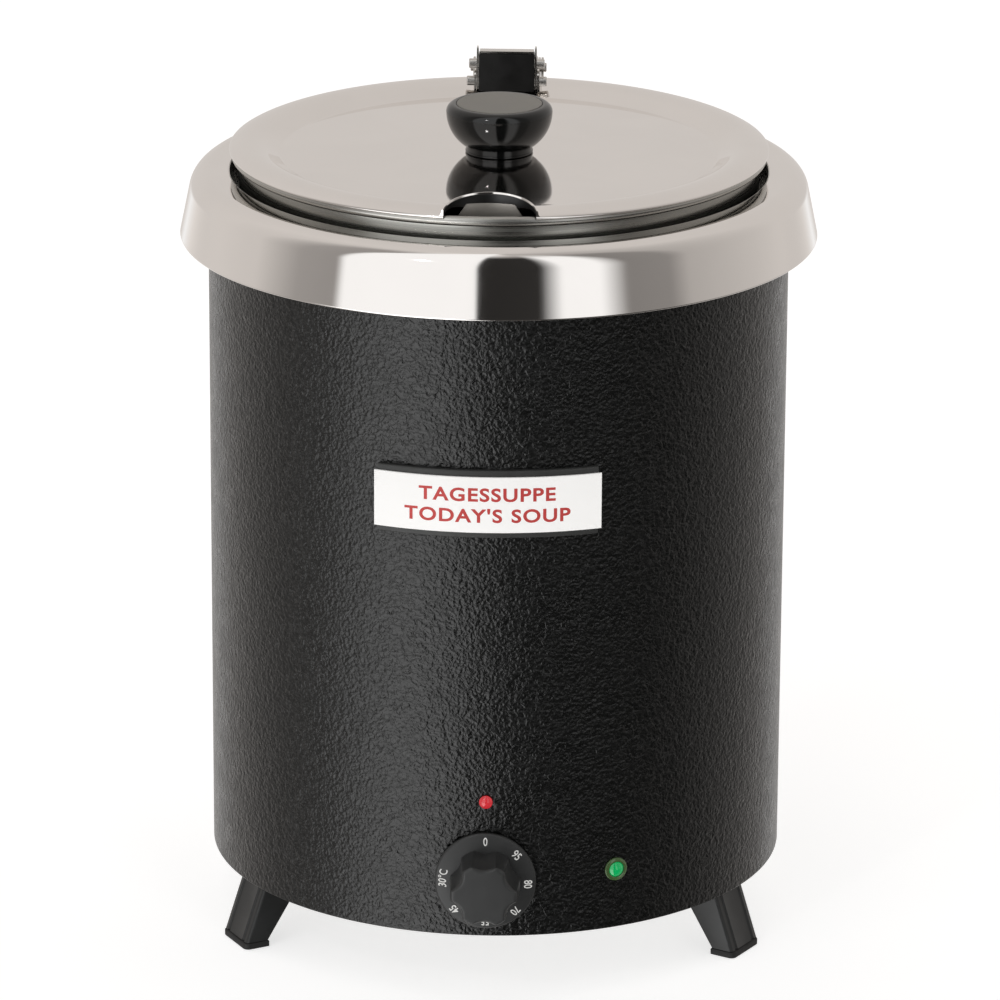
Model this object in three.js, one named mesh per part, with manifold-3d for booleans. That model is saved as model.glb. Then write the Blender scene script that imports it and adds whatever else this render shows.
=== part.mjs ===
// Electric soup kettle: a hammer-finish casing on three splayed legs, a polished collar, a water bath with
// its heating element, a lift-out pot and a hinged lid with a ladle notch.
// Millimetres, +Z up, front is -Y. The origin is on the floor, on the kettle's axis.
import * as THREE from "three";
import { mergeVertices } from "three/addons/utils/BufferGeometryUtils.js";
import Module from "manifold-3d";

const wasm = await Module();
wasm.setup();

// ---------------------------------------------------------------- driving dimensions
const GAP = 0.3; // clearance between pieces that rest on or pass through each other
const SHEET = 1; // thickness of the sheet-metal pieces
const ROUND = 48; // sides of the large turned pieces
const SMALL_ROUND = 24; // sides of the knobs and other hand-sized turned pieces

const CASING_RADIUS = 152.2;
const CASING_BOTTOM = 36;
const CASING_TOP = 390;
const HEM_HEIGHT = 5;
const CASING_FLANGE = 9;

const LEG_COUNT = 3;
const LEG_WIDTH = 27.2;
const PAD_HEIGHT = 3.5;
const LEG_SCREW_RADIUS = 2.5;

const COLLAR_BOTTOM_RADIUS = 167;
const COLLAR_BOTTOM = 372.8;
const COLLAR_TOP = 407.5;
const COLLAR_TAPER = THREE.MathUtils.degToRad(11.2);
const COLLAR_SHOULDER = 11.5;
const COLLAR_OPENING_RADIUS = 140.6;
const COLLAR_FOOT_RADIUS = 138.3;
const COLLAR_LIP = 1.2;
const FUNNEL_BOTTOM = 394;

const BATH_RADIUS = 133;
const BATH_FLOOR = 181;
const BATH_CORNER = 12;
const BATH_FLANGE_RADIUS = 148.5;

const POT_RADIUS = 126;
const POT_FLOOR = 205;
const POT_CORNER = 14;
const POT_NECK_RADIUS = 135;
const BEAD_RADIUS = 2.6;
const BEAD_Z = 416.7;

const LID_SHEET = 0.8;
const LID_EDGE_RADIUS = 141;
const LID_PANEL_RADIUS = 114.6;
const LID_PANEL_Z = 416;
const BRIM_CROWN_RADIUS = 130.6;
const BRIM_CROWN_Z = 422.3;
const BRIM_CURVE = 18;
const BRIM_START = 120; // degrees, where the panel's ramp meets the brim's arc

const NOTCH_HALF_WIDTH = 23.5;
const NOTCH_DEPTH = 16;
const NOTCH_CENTRE_Y = -140;
const NOTCH_LIP = 2.2;
const NOTCH_LIP_Z = 428;
const NOTCH_LIP_SLOPE = 6.2 / NOTCH_DEPTH;

const KNOB_NECK_RADIUS = 17.7;
const KNOB_NECK_HEIGHT = 4.3;
const KNOB_RADIUS = 27.8;
const KNOB_WIDEST_Z = 437.7;
const KNOB_TOP_Z = 442;
const KNOB_CAP_RADIUS = 22.3;

const PIVOT_Y = 147;
const PIVOT_Z = 424;
const BLOCK_HALF_WIDTH = 14.85;
const BLOCK_FRONT_Y = 113;
const BLOCK_BOTTOM_Z = 419.1;
const BLOCK_TOP_Z = 439.8;
const PIN_RADIUS = 2.6;
const PIN_Y = 116.5;
const LOWER_PIN_Z = 424;
const UPPER_PIN_Z = 433.6;
const PLATE = 1;

const DIAL_Z = 68;
const DIAL_SKIRT_RADIUS = 26.2;
const DIAL_BACK_Y = -CASING_RADIUS - 1.3;
const DIAL_GRIP_Y = DIAL_BACK_Y - 4.3;
const DIAL_FRONT_Y = DIAL_BACK_Y - 24.7;
const SHAFT_RADIUS = 3;

const LAMP_Z = 69;
const LAMP_ANGLE = THREE.MathUtils.degToRad(26);
const HEAT_LAMP_Z = 110.5;

const LABEL_Z = 272.5;
const LABEL_HEIGHT = 29.5;
const LABEL_ARC = THREE.MathUtils.degToRad(43.4);
const HOLDER_HEIGHT = 36;
const HOLDER_ARC = THREE.MathUtils.degToRad(42.4);

const GLAND_Z = 66;
const GLAND_BORE = 4.5;

// ---------------------------------------------------------------- finishes
const finish = (color, roughness, metalness) => ({ color, roughness, metalness });
const HAMMER_BLACK = finish(0x1b1d1c, 0.45, 0.1);
const POLISHED_STEEL = finish(0xd5d2cd, 0.08, 1);
const SATIN_STEEL = finish(0xb9b8b4, 0.32, 1);
const ALUMINIUM = finish(0xc4c6c8, 0.4, 1);
const BLACK_PLASTIC = finish(0x1f2120, 0.5, 0);
const GLOSS_BLACK = finish(0x101110, 0.1, 0);
const GREY_CAP = finish(0x7d7a74, 0.6, 0);
const HOLDER_GREY = finish(0x3b3d3c, 0.55, 0);
const LABEL_WHITE = finish(0xf3f1ec, 0.4, 0);
const GREEN_LENS = finish(0x0a8a3c, 0.15, 0);
const RED_LENS = finish(0xc8283a, 0.12, 0);
const RUBBER = finish(0x161616, 0.8, 0);
const MINERAL_WOOL = finish(0xc9b98a, 0.95, 0);
const BRASS = finish(0xc7a24a, 0.35, 1);

// ---------------------------------------------------------------- shape helpers
function toSolid(geometry) {
  const bare = geometry.index ? geometry.toNonIndexed() : geometry.clone();
  bare.deleteAttribute("normal");
  bare.deleteAttribute("uv");
  const merged = mergeVertices(bare, 1e-4);
  const mesh = new wasm.Mesh({
    numProp: 3,
    vertProperties: merged.attributes.position.array,
    triVerts: new Uint32Array(merged.index.array),
  });
  return new wasm.Manifold(mesh);
}

function toGeometry(solid) {
  const mesh = solid.getMesh();
  const geometry = new THREE.BufferGeometry();
  geometry.setAttribute("position", new THREE.BufferAttribute(mesh.vertProperties, 3));
  geometry.setIndex(new THREE.BufferAttribute(mesh.triVerts, 1));
  geometry.computeVertexNormals();
  return geometry;
}

function cut(geometry, ...tools) {
  return toGeometry(tools.reduce((solid, tool) => solid.subtract(toSolid(tool)), toSolid(geometry)));
}

function join(geometry, ...others) {
  return toGeometry(others.reduce((solid, other) => solid.add(toSolid(other)), toSolid(geometry)));
}

// Turns a closed outline of [radius, z] points about the Z axis.
function turned(outline, segments) {
  const points = outline.map(([radius, z]) => new THREE.Vector2(radius, z));
  if (THREE.ShapeUtils.area(points) < 0) points.reverse();
  points.push(points[0].clone());
  return new THREE.LatheGeometry(points, segments).rotateX(Math.PI / 2);
}

// Points on an arc in the [radius, z] plane, angles in degrees from the radial direction.
function arc(centreRadius, centreZ, radius, fromDegrees, toDegrees, steps) {
  return Array.from({ length: steps + 1 }, (_, i) => {
    const angle = THREE.MathUtils.degToRad(fromDegrees + ((toDegrees - fromDegrees) * i) / steps);
    return [centreRadius + radius * Math.cos(angle), centreZ + radius * Math.sin(angle)];
  });
}

function box(width, depth, height) {
  return new THREE.BoxGeometry(width, depth, height);
}

// A cylinder along Z with its base at z = 0.
function rod(radius, length, segments = 12) {
  return new THREE.CylinderGeometry(radius, radius, length, segments)
    .rotateX(Math.PI / 2)
    .translate(0, 0, length / 2);
}

// The same rod laid along +Y from the point given.
function rodAlongY(radius, x, fromY, toY, z, segments = 12) {
  return rod(radius, toY - fromY, segments).rotateX(-Math.PI / 2).translate(x, fromY, z);
}

// A rod along X, centred on x = 0.
function rodAlongX(radius, halfLength, y, z, segments = 12) {
  return rod(radius, 2 * halfLength, segments)
    .translate(0, 0, -halfLength)
    .rotateY(Math.PI / 2)
    .translate(0, y, z);
}

function prism(shape, height, curveSegments = 6) {
  return new THREE.ExtrudeGeometry(shape, { depth: height, bevelEnabled: false, curveSegments });
}

// A prism whose outline is given in the YZ plane, from x = fromX to x = toX.
function sidePlate(shape, fromX, toX) {
  return prism(shape, toX - fromX)
    .rotateX(Math.PI / 2)
    .rotateZ(Math.PI / 2)
    .translate(fromX, 0, 0);
}

function polygon(points) {
  return new THREE.Shape(points.map(([x, y]) => new THREE.Vector2(x, y)));
}

// A curved strip of a cylinder's wall, centred on the front (-Y).
function curvedStrip(innerRadius, outerRadius, arcAngle, height, steps) {
  const shape = new THREE.Shape();
  const middle = -Math.PI / 2;
  shape.absarc(0, 0, outerRadius, middle - arcAngle / 2, middle + arcAngle / 2, false);
  shape.absarc(0, 0, innerRadius, middle + arcAngle / 2, middle - arcAngle / 2, true);
  return prism(shape, height, steps);
}

const root = new THREE.Group();

function addTo(parent, name, geometry, look) {
  const mesh = new THREE.Mesh(geometry, new THREE.MeshStandardMaterial(look));
  mesh.name = name;
  parent.add(mesh);
  return mesh;
}

function add(name, geometry, look) {
  return addTo(root, name, geometry, look);
}

// ---------------------------------------------------------------- casing and base
const HEM = SHEET; // half the hem's thickness, and the radius of its rounded edge
const BUSH_HOLE = 5;
const DIAL_SCREW_X = 14;
const DIAL_SCREW_RADIUS = 2;
const LAMP_BODY_RADIUS = 4.6;
const HEAT_LAMP_BODY_RADIUS = 2.7;
const GLAND_THREAD_RADIUS = 7.8;

function casingShell() {
  const inside = CASING_RADIUS - SHEET;
  const hemInside = CASING_RADIUS - 2 * HEM;
  const wall = turned(
    [
      ...arc(CASING_RADIUS - HEM, CASING_BOTTOM + HEM, HEM, 0, -180, 2),
      [hemInside, CASING_BOTTOM + HEM_HEIGHT],
      [inside, CASING_BOTTOM + HEM_HEIGHT + HEM],
      [inside, CASING_TOP - SHEET],
      [CASING_RADIUS - CASING_FLANGE, CASING_TOP - SHEET],
      [CASING_RADIUS - CASING_FLANGE, CASING_TOP],
      [CASING_RADIUS, CASING_TOP],
    ],
    ROUND,
  );
  const through = (radius, x, z) => rodAlongY(radius, x, -CASING_RADIUS - 5, -CASING_RADIUS + 10, z);
  return cut(
    wall,
    through(BUSH_HOLE, 0, DIAL_Z),
    through(DIAL_SCREW_RADIUS + GAP, DIAL_SCREW_X, DIAL_Z),
    through(DIAL_SCREW_RADIUS + GAP, -DIAL_SCREW_X, DIAL_Z),
    through(HEAT_LAMP_BODY_RADIUS + GAP, 0, HEAT_LAMP_Z),
    through(LAMP_BODY_RADIUS + GAP, 0, LAMP_Z).rotateZ(LAMP_ANGLE),
    through(GLAND_THREAD_RADIUS + GAP, 0, GLAND_Z).rotateZ(Math.PI),
  );
}
add("casing_shell", casingShell(), HAMMER_BLACK);

const PLATE_Z = CASING_BOTTOM + GAP;
const PLATE_RADIUS = CASING_RADIUS - 2 * HEM - GAP;
const PLATE_RIM = 12;
const LEG_SCREW_CIRCLE = 137;
const EARTH_X = 35;
const EARTH_Y = 95;
const VENT_COUNT = 8;
const legAngle = (i) => -Math.PI / 6 + (i * 2 * Math.PI) / LEG_COUNT;

function basePlate() {
  const plate = turned(
    [
      [0, PLATE_Z],
      [PLATE_RADIUS, PLATE_Z],
      [PLATE_RADIUS, PLATE_Z + PLATE_RIM],
      [PLATE_RADIUS - SHEET, PLATE_Z + PLATE_RIM],
      [PLATE_RADIUS - SHEET, PLATE_Z + SHEET],
      [0, PLATE_Z + SHEET],
    ],
    ROUND,
  );
  const hole = (radius, x, y) => rod(radius, 10, 12).translate(x, y, PLATE_Z - 5);
  const screwHoles = Array.from({ length: LEG_COUNT }, (_, i) =>
    hole(LEG_SCREW_RADIUS + GAP, LEG_SCREW_CIRCLE, 0).rotateZ(legAngle(i)),
  );
  const vents = Array.from({ length: VENT_COUNT }, (_, i) =>
    hole(4, 60, 0).rotateZ(((i + 0.5) * 2 * Math.PI) / VENT_COUNT),
  );
  return cut(plate, ...screwHoles, ...vents, hole(LEG_SCREW_RADIUS + GAP, EARTH_X, EARTH_Y));
}
add("base_plate", basePlate(), SATIN_STEEL);

// ---------------------------------------------------------------- legs
const LEG_TOP = CASING_BOTTOM;
const LEG_BOTTOM = PAD_HEIGHT + GAP;
const LEG_OUTLINE = [
  [144.7, LEG_TOP],
  [122, LEG_TOP],
  [143.4, LEG_BOTTOM],
  [156.2, LEG_BOTTOM],
];
const PAD_INNER = 143.2;
const PAD_OUTER = 157.2;
const PAD_WIDTH = 27.6;
const PAD_CORNER = 3;
const LEG_NAMES = ["right", "rear", "left"];

function legBody() {
  const body = prism(polygon(LEG_OUTLINE), LEG_WIDTH)
    .rotateX(Math.PI / 2)
    .translate(0, LEG_WIDTH / 2, 0);
  const bead = 1.6;
  const lean = Math.atan2(LEG_OUTLINE[3][0] - LEG_OUTLINE[0][0], LEG_TOP - LEG_BOTTOM);
  const length = (LEG_TOP - LEG_BOTTOM) / Math.cos(lean);
  const groove = (side) =>
    rod(bead, length + 8, 12)
      .translate(0, 0, -4)
      .rotateY(-lean)
      .translate(LEG_OUTLINE[3][0] + 0.5, side * (LEG_WIDTH / 2 - 4.2), LEG_BOTTOM);
  const screwHole = rod(LEG_SCREW_RADIUS + GAP, 20).translate(LEG_SCREW_CIRCLE, 0, LEG_TOP - 15);
  return cut(body, groove(1), groove(-1), screwHole);
}

function footPad() {
  const half = PAD_WIDTH / 2;
  const shape = new THREE.Shape();
  shape.moveTo(PAD_INNER, -half);
  shape.lineTo(PAD_OUTER - PAD_CORNER, -half);
  shape.absarc(PAD_OUTER - PAD_CORNER, -half + PAD_CORNER, PAD_CORNER, -Math.PI / 2, 0, false);
  shape.absarc(PAD_OUTER - PAD_CORNER, half - PAD_CORNER, PAD_CORNER, 0, Math.PI / 2, false);
  shape.lineTo(PAD_INNER, half);
  return prism(shape, PAD_HEIGHT, 5);
}

function legScrew() {
  return turned(
    [
      [0, LEG_TOP - 13],
      [LEG_SCREW_RADIUS, LEG_TOP - 13],
      [LEG_SCREW_RADIUS, PLATE_Z + SHEET + GAP],
      [4.75, PLATE_Z + SHEET + GAP],
      [4.75, PLATE_Z + SHEET + GAP + 2],
      [3.5, PLATE_Z + SHEET + GAP + 3.4],
      [0, PLATE_Z + SHEET + GAP + 3.4],
    ],
    12,
  );
}

LEG_NAMES.forEach((side, i) => {
  const place = new THREE.Group();
  place.rotation.z = legAngle(i);
  root.add(place);
  addTo(place, `leg_${side}`, legBody(), BLACK_PLASTIC);
  addTo(place, `foot_pad_${side}`, footPad(), RUBBER);
  addTo(place, `leg_screw_${side}`, legScrew(), SATIN_STEEL).position.x = LEG_SCREW_CIRCLE;
});

// ---------------------------------------------------------------- collar
const BATH_FLANGE_Z = CASING_TOP + GAP;
const BATH_FLANGE_TOP = BATH_FLANGE_Z + SHEET;

function collarRing() {
  const taper = Math.tan(COLLAR_TAPER);
  const shoulderZ = COLLAR_TOP - COLLAR_SHOULDER;
  // The shoulder's arc touches the tapered skirt and the flat top.
  const skirtAtShoulder = COLLAR_BOTTOM_RADIUS - (shoulderZ - COLLAR_BOTTOM) * taper;
  const shoulderRadius = skirtAtShoulder - COLLAR_SHOULDER / Math.cos(COLLAR_TAPER);
  const taperDegrees = THREE.MathUtils.radToDeg(COLLAR_TAPER);
  const lipRadius = COLLAR_OPENING_RADIUS + COLLAR_LIP;
  const lipZ = COLLAR_TOP - COLLAR_LIP;
  const foot = BATH_FLANGE_TOP + GAP;
  return turned(
    [
      [COLLAR_BOTTOM_RADIUS - 1.6, COLLAR_BOTTOM],
      ...arc(COLLAR_BOTTOM_RADIUS - 0.7, COLLAR_BOTTOM + 0.7, 0.7, -90, 0, 2),
      ...arc(shoulderRadius, shoulderZ, COLLAR_SHOULDER, taperDegrees, 90, 4),
      ...arc(lipRadius, lipZ, COLLAR_LIP, 90, 180, 2),
      [COLLAR_FOOT_RADIUS, FUNNEL_BOTTOM],
      [COLLAR_FOOT_RADIUS, foot],
      [COLLAR_FOOT_RADIUS + SHEET, foot],
      [COLLAR_FOOT_RADIUS + SHEET, FUNNEL_BOTTOM],
      ...arc(lipRadius, lipZ, COLLAR_LIP - SHEET, 180, 90, 1),
      ...arc(shoulderRadius, shoulderZ, COLLAR_SHOULDER - SHEET, 90, taperDegrees, 2),
      [COLLAR_BOTTOM_RADIUS - 1.6, COLLAR_BOTTOM + 3],
    ],
    ROUND,
  );
}
add("collar_ring", collarRing(), POLISHED_STEEL);

const CLIP_COUNT = 3;
function collarClip() {
  const wall = CASING_RADIUS + GAP;
  const outer = 160.4;
  const bottom = CASING_TOP - 10;
  const outline = polygon([
    [wall, bottom],
    [outer, bottom],
    [outer, CASING_TOP + 2],
    [outer - SHEET, CASING_TOP + 2],
    [outer - SHEET, bottom + SHEET],
    [wall + SHEET, bottom + SHEET],
    [wall + SHEET, CASING_TOP],
    [wall, CASING_TOP],
  ]);
  const width = 18;
  return prism(outline, width).rotateX(Math.PI / 2).translate(0.2, width / 2, 0);
}
for (let i = 0; i < CLIP_COUNT; i++) {
  const clip = add(`collar_clip_${i + 1}`, collarClip(), SATIN_STEEL);
  clip.rotation.z = Math.PI / 2 + (i * 2 * Math.PI) / CLIP_COUNT;
}

// ---------------------------------------------------------------- water bath and heating
function hexNut(cornerRadius, bore, height) {
  return cut(rod(cornerRadius, height, 6), rod(bore, height + 2).translate(0, 0, -1));
}

function waterBath() {
  const outer = BATH_RADIUS + SHEET;
  const floor = BATH_FLOOR - SHEET;
  return turned(
    [
      [0, floor],
      ...arc(outer - BATH_CORNER, floor + BATH_CORNER, BATH_CORNER, -90, 0, 2),
      [outer, BATH_FLANGE_Z],
      [BATH_FLANGE_RADIUS, BATH_FLANGE_Z],
      [BATH_FLANGE_RADIUS, BATH_FLANGE_TOP],
      [BATH_RADIUS, BATH_FLANGE_TOP],
      ...arc(outer - BATH_CORNER, floor + BATH_CORNER, BATH_CORNER - SHEET, 0, -90, 2),
      [0, BATH_FLOOR],
    ],
    ROUND,
  );
}
add("water_bath", waterBath(), SATIN_STEEL);

const SLEEVE_INNER = 137;
const SLEEVE_OUTER = 147.5;
const SLEEVE_BOTTOM = 189;
const SLEEVE_TOP = 384;
add(
  "insulation_sleeve",
  turned(
    [
      [SLEEVE_INNER, SLEEVE_BOTTOM],
      [SLEEVE_OUTER, SLEEVE_BOTTOM],
      [SLEEVE_OUTER, SLEEVE_TOP],
      [SLEEVE_INNER, SLEEVE_TOP],
    ],
    ROUND,
  ),
  MINERAL_WOOL,
);

const SPREADER_TOP = BATH_FLOOR - SHEET - GAP;
const SPREADER_BOTTOM = SPREADER_TOP - 3.5;
const SPREADER_RADIUS = 115;
const STUD_RADIUS = 3;
const ELEMENT_RADIUS = 85;
const ELEMENT_TUBE = 4;
const ELEMENT_Z = SPREADER_BOTTOM - GAP - ELEMENT_TUBE;
const CLAMP_TOP = ELEMENT_Z - ELEMENT_TUBE - GAP;
const CLAMP_THICKNESS = 1.4;
const CLAMP_RADIUS = 100;
const ELEMENT_END_X = 15;

add(
  "heat_spreader",
  turned(
    [
      [STUD_RADIUS + GAP, SPREADER_BOTTOM],
      [SPREADER_RADIUS, SPREADER_BOTTOM],
      [SPREADER_RADIUS, SPREADER_TOP],
      [STUD_RADIUS + GAP, SPREADER_TOP],
    ],
    40,
  ),
  ALUMINIUM,
);

function heatingElement() {
  const ring = turned(arc(ELEMENT_RADIUS, ELEMENT_Z, ELEMENT_TUBE, 0, 300, 5), 28);
  const end = (x) => {
    const y = -Math.sqrt(ELEMENT_RADIUS ** 2 - x ** 2);
    return rod(2.5, 22, 12).translate(x, y, ELEMENT_Z - 22);
  };
  return join(ring, end(ELEMENT_END_X), end(-ELEMENT_END_X));
}
add("heating_element", heatingElement(), SATIN_STEEL);

function elementClamp() {
  const plate = turned(
    [
      [STUD_RADIUS + GAP, CLAMP_TOP - CLAMP_THICKNESS],
      [CLAMP_RADIUS, CLAMP_TOP - CLAMP_THICKNESS],
      [CLAMP_RADIUS, CLAMP_TOP],
      [STUD_RADIUS + GAP, CLAMP_TOP],
    ],
    40,
  );
  const endSlot = box(2 * ELEMENT_END_X + 10, 12, 10).translate(0, -ELEMENT_RADIUS, CLAMP_TOP);
  return cut(plate, endSlot);
}
add("element_clamp", elementClamp(), SATIN_STEEL);

const STUD_BOTTOM = 157;
const NUT_HEIGHT = 5;
const NUT_TOP = CLAMP_TOP - CLAMP_THICKNESS - GAP;
const clampNut = hexNut(5.8, STUD_RADIUS + GAP, NUT_HEIGHT);
add("clamp_stud", rod(STUD_RADIUS, SPREADER_TOP - STUD_BOTTOM).translate(0, 0, STUD_BOTTOM), SATIN_STEEL);
add("clamp_nut", clampNut, SATIN_STEEL).position.z = NUT_TOP - NUT_HEIGHT;

const BULB_RADIUS = 3;
const BULB_Y = -40;
const BULB_Z = SPREADER_BOTTOM - GAP - BULB_RADIUS;
const BULB_HALF_LENGTH = 35;
add("sensor_bulb", rodAlongX(BULB_RADIUS, BULB_HALF_LENGTH, BULB_Y, BULB_Z), BRASS);

function sensorClip() {
  const height = SPREADER_BOTTOM - GAP - CLAMP_TOP - GAP;
  const block = box(14, 18, height).translate(0, BULB_Y, CLAMP_TOP + GAP + height / 2);
  const top = box(16, 2 * (BULB_RADIUS + GAP), 4).translate(0, BULB_Y, BULB_Z + 2);
  return cut(block, rodAlongX(BULB_RADIUS + GAP, 20, BULB_Y, BULB_Z), top);
}
add("sensor_clip", sensorClip(), SATIN_STEEL);

// ---------------------------------------------------------------- thermostat and lamps
const BODY_FRONT_Y = -CASING_RADIUS + 2.8;
const BODY_BACK_Y = BODY_FRONT_Y + 25.2;
const BUSH_FRONT_Y = -CASING_RADIUS - 0.6;
const SHAFT_BACK_Y = BODY_FRONT_Y + 18.2;
const DIAL_SCREW_LENGTH = 13;

function thermostatBody() {
  const depth = BODY_BACK_Y - BODY_FRONT_Y;
  const block = box(40, depth, 36).translate(0, (BODY_FRONT_Y + BODY_BACK_Y) / 2, DIAL_Z);
  const bush = rodAlongY(BUSH_HOLE - 0.4, 0, BUSH_FRONT_Y, BODY_FRONT_Y + 3, DIAL_Z);
  const terminals = [-12, 0, 12].map((x) => box(6.3, 9, 0.8).translate(x, BODY_BACK_Y + 4, DIAL_Z - 12));
  const screwHole = (x) =>
    rodAlongY(DIAL_SCREW_RADIUS + GAP, x, BODY_FRONT_Y - 1, BODY_FRONT_Y + DIAL_SCREW_LENGTH, DIAL_Z);
  return cut(
    join(block, bush, ...terminals),
    rodAlongY(SHAFT_RADIUS + GAP, 0, BUSH_FRONT_Y - 1, SHAFT_BACK_Y + 1, DIAL_Z),
    screwHole(DIAL_SCREW_X),
    screwHole(-DIAL_SCREW_X),
  );
}
add("thermostat_body", thermostatBody(), BLACK_PLASTIC);

function thermostatScrew() {
  return turned(
    [
      [0, 0],
      [DIAL_SCREW_RADIUS, 0],
      [DIAL_SCREW_RADIUS, DIAL_SCREW_LENGTH],
      [3.5, DIAL_SCREW_LENGTH],
      [3.5, DIAL_SCREW_LENGTH + 1.2],
      [2.6, DIAL_SCREW_LENGTH + 2],
      [0, DIAL_SCREW_LENGTH + 2],
    ],
    12,
  ).rotateX(Math.PI / 2);
}
for (const [side, x] of [
  ["left", -DIAL_SCREW_X],
  ["right", DIAL_SCREW_X],
]) {
  const screw = add(`thermostat_screw_${side}`, thermostatScrew(), SATIN_STEEL);
  screw.position.set(x, DIAL_SCREW_LENGTH - CASING_RADIUS, DIAL_Z);
}

const LENS_BACK = CASING_RADIUS + GAP + 0.15;
function pilotLens() {
  return turned(
    [
      [0, LENS_BACK],
      [6.2, LENS_BACK],
      [6.2, LENS_BACK + 1],
      [5.2, LENS_BACK + 1.6],
      [4.4, LENS_BACK + 1.6],
      [4.1, LENS_BACK + 2.4],
      [2.4, LENS_BACK + 3],
      [0, LENS_BACK + 3.2],
    ],
    20,
  ).rotateX(Math.PI / 2);
}

function lampBody(radius, length) {
  const shell = rod(radius, length).translate(0, 0, LENS_BACK - GAP - length);
  const terminal = (x) => box(0.8, radius, 9).translate(x, 0, LENS_BACK - GAP - length - 4);
  return join(shell, terminal(radius / 2), terminal(-radius / 2)).rotateX(Math.PI / 2);
}

const lampPlace = new THREE.Group();
lampPlace.rotation.z = LAMP_ANGLE;
lampPlace.position.z = LAMP_Z;
root.add(lampPlace);
addTo(lampPlace, "pilot_lamp_lens", pilotLens(), GREEN_LENS);
addTo(lampPlace, "pilot_lamp_body", lampBody(LAMP_BODY_RADIUS, 26), BLACK_PLASTIC);
addTo(
  lampPlace,
  "pilot_lamp_nut",
  hexNut(8, LAMP_BODY_RADIUS + GAP, 4).rotateX(Math.PI / 2).translate(0, -CASING_RADIUS + 5.5, 0),
  BLACK_PLASTIC,
);

function heatLens() {
  return turned(
    [
      [0, LENS_BACK],
      [3.5, LENS_BACK],
      [3.5, LENS_BACK + 0.6],
      ...arc(0, LENS_BACK - 1.6, 4.15, 32, 90, 3),
    ],
    16,
  ).rotateX(Math.PI / 2);
}
add("heat_lamp_lens", heatLens(), RED_LENS).position.z = HEAT_LAMP_Z;
add("heat_lamp_body", lampBody(HEAT_LAMP_BODY_RADIUS, 18), BLACK_PLASTIC).position.z = HEAT_LAMP_Z;

// ---------------------------------------------------------------- label
const HOLDER_RADIUS = CASING_RADIUS + 0.35;
const HOLDER_THICKNESS = 2.5;
const LABEL_RADIUS = HOLDER_RADIUS + HOLDER_THICKNESS + GAP;
add(
  "label_holder",
  curvedStrip(HOLDER_RADIUS, HOLDER_RADIUS + HOLDER_THICKNESS, HOLDER_ARC, HOLDER_HEIGHT, 12),
  HOLDER_GREY,
).position.z = LABEL_Z - HOLDER_HEIGHT / 2;
add(
  "label_plate",
  curvedStrip(LABEL_RADIUS, LABEL_RADIUS + 1, LABEL_ARC, LABEL_HEIGHT, 12),
  LABEL_WHITE,
).position.z = LABEL_Z - LABEL_HEIGHT / 2;

// ---------------------------------------------------------------- mains inlet and wiring
const GLAND_FLANGE_RADIUS = 10.5;
const GLAND_DOME_RADIUS = 9.6;
const GLAND_LENGTH = 22.5;
const GLAND_INSIDE = -10;
function cordGland() {
  const outline = [
    [GLAND_BORE, GLAND_INSIDE],
    [GLAND_THREAD_RADIUS, GLAND_INSIDE],
    [GLAND_THREAD_RADIUS, GAP],
    [GLAND_FLANGE_RADIUS, GAP],
    [GLAND_FLANGE_RADIUS, 7],
    [GLAND_DOME_RADIUS, 8],
    [GLAND_DOME_RADIUS, 14],
    [7.4, GLAND_LENGTH - 1.5],
    [6, GLAND_LENGTH],
    [GLAND_BORE, GLAND_LENGTH],
  ];
  return turned(outline, 20).rotateX(-Math.PI / 2).translate(0, CASING_RADIUS, GLAND_Z);
}
add("cord_gland", cordGland(), BLACK_PLASTIC);
add(
  "gland_nut",
  hexNut(11, GLAND_THREAD_RADIUS + GAP, 4)
    .rotateX(-Math.PI / 2)
    .translate(0, CASING_RADIUS - 5.8, GLAND_Z),
  BLACK_PLASTIC,
);

const FLOOR_Z = PLATE_Z + SHEET + GAP;
function terminalBlock() {
  const block = box(40, 16, 17).translate(0, EARTH_Y, FLOOR_Z + 8.5);
  const wireHoles = [-13, 0, 13].map((x) => rodAlongY(2.2, x, EARTH_Y - 10, EARTH_Y + 10, FLOOR_Z + 7));
  return cut(block, ...wireHoles);
}
add("terminal_block", terminalBlock(), LABEL_WHITE);

function earthScrew() {
  return turned(
    [
      [0, PLATE_Z - GAP - 2.6],
      [3.4, PLATE_Z - GAP - 2.6],
      [4.6, PLATE_Z - GAP - 1.4],
      [4.6, PLATE_Z - GAP],
      [LEG_SCREW_RADIUS, PLATE_Z - GAP],
      [LEG_SCREW_RADIUS, PLATE_Z + 14],
      [0, PLATE_Z + 14],
    ],
    12,
  );
}
add("earth_screw", earthScrew(), SATIN_STEEL).position.set(EARTH_X, EARTH_Y, 0);
add("earth_nut", hexNut(4.6, LEG_SCREW_RADIUS + GAP, 4), BRASS).position.set(EARTH_X, EARTH_Y, FLOOR_Z);

// ---------------------------------------------------------------- thermostat dial
const DIAL_GRIP_RADIUS = 18.4;
const DIAL_FACE_RADIUS = 16.9;
const DIAL_RECESS_RADIUS = 22.5;
const DIAL_RECESS = 2.2;
const SHAFT_REACH = 17.2;
const FLUTE_COUNT = 6;
const FLUTE_RADIUS = 7.9;
const FLUTE_CENTRE = 23.7;
const FLUTE_LEAN = 0.1;

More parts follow.
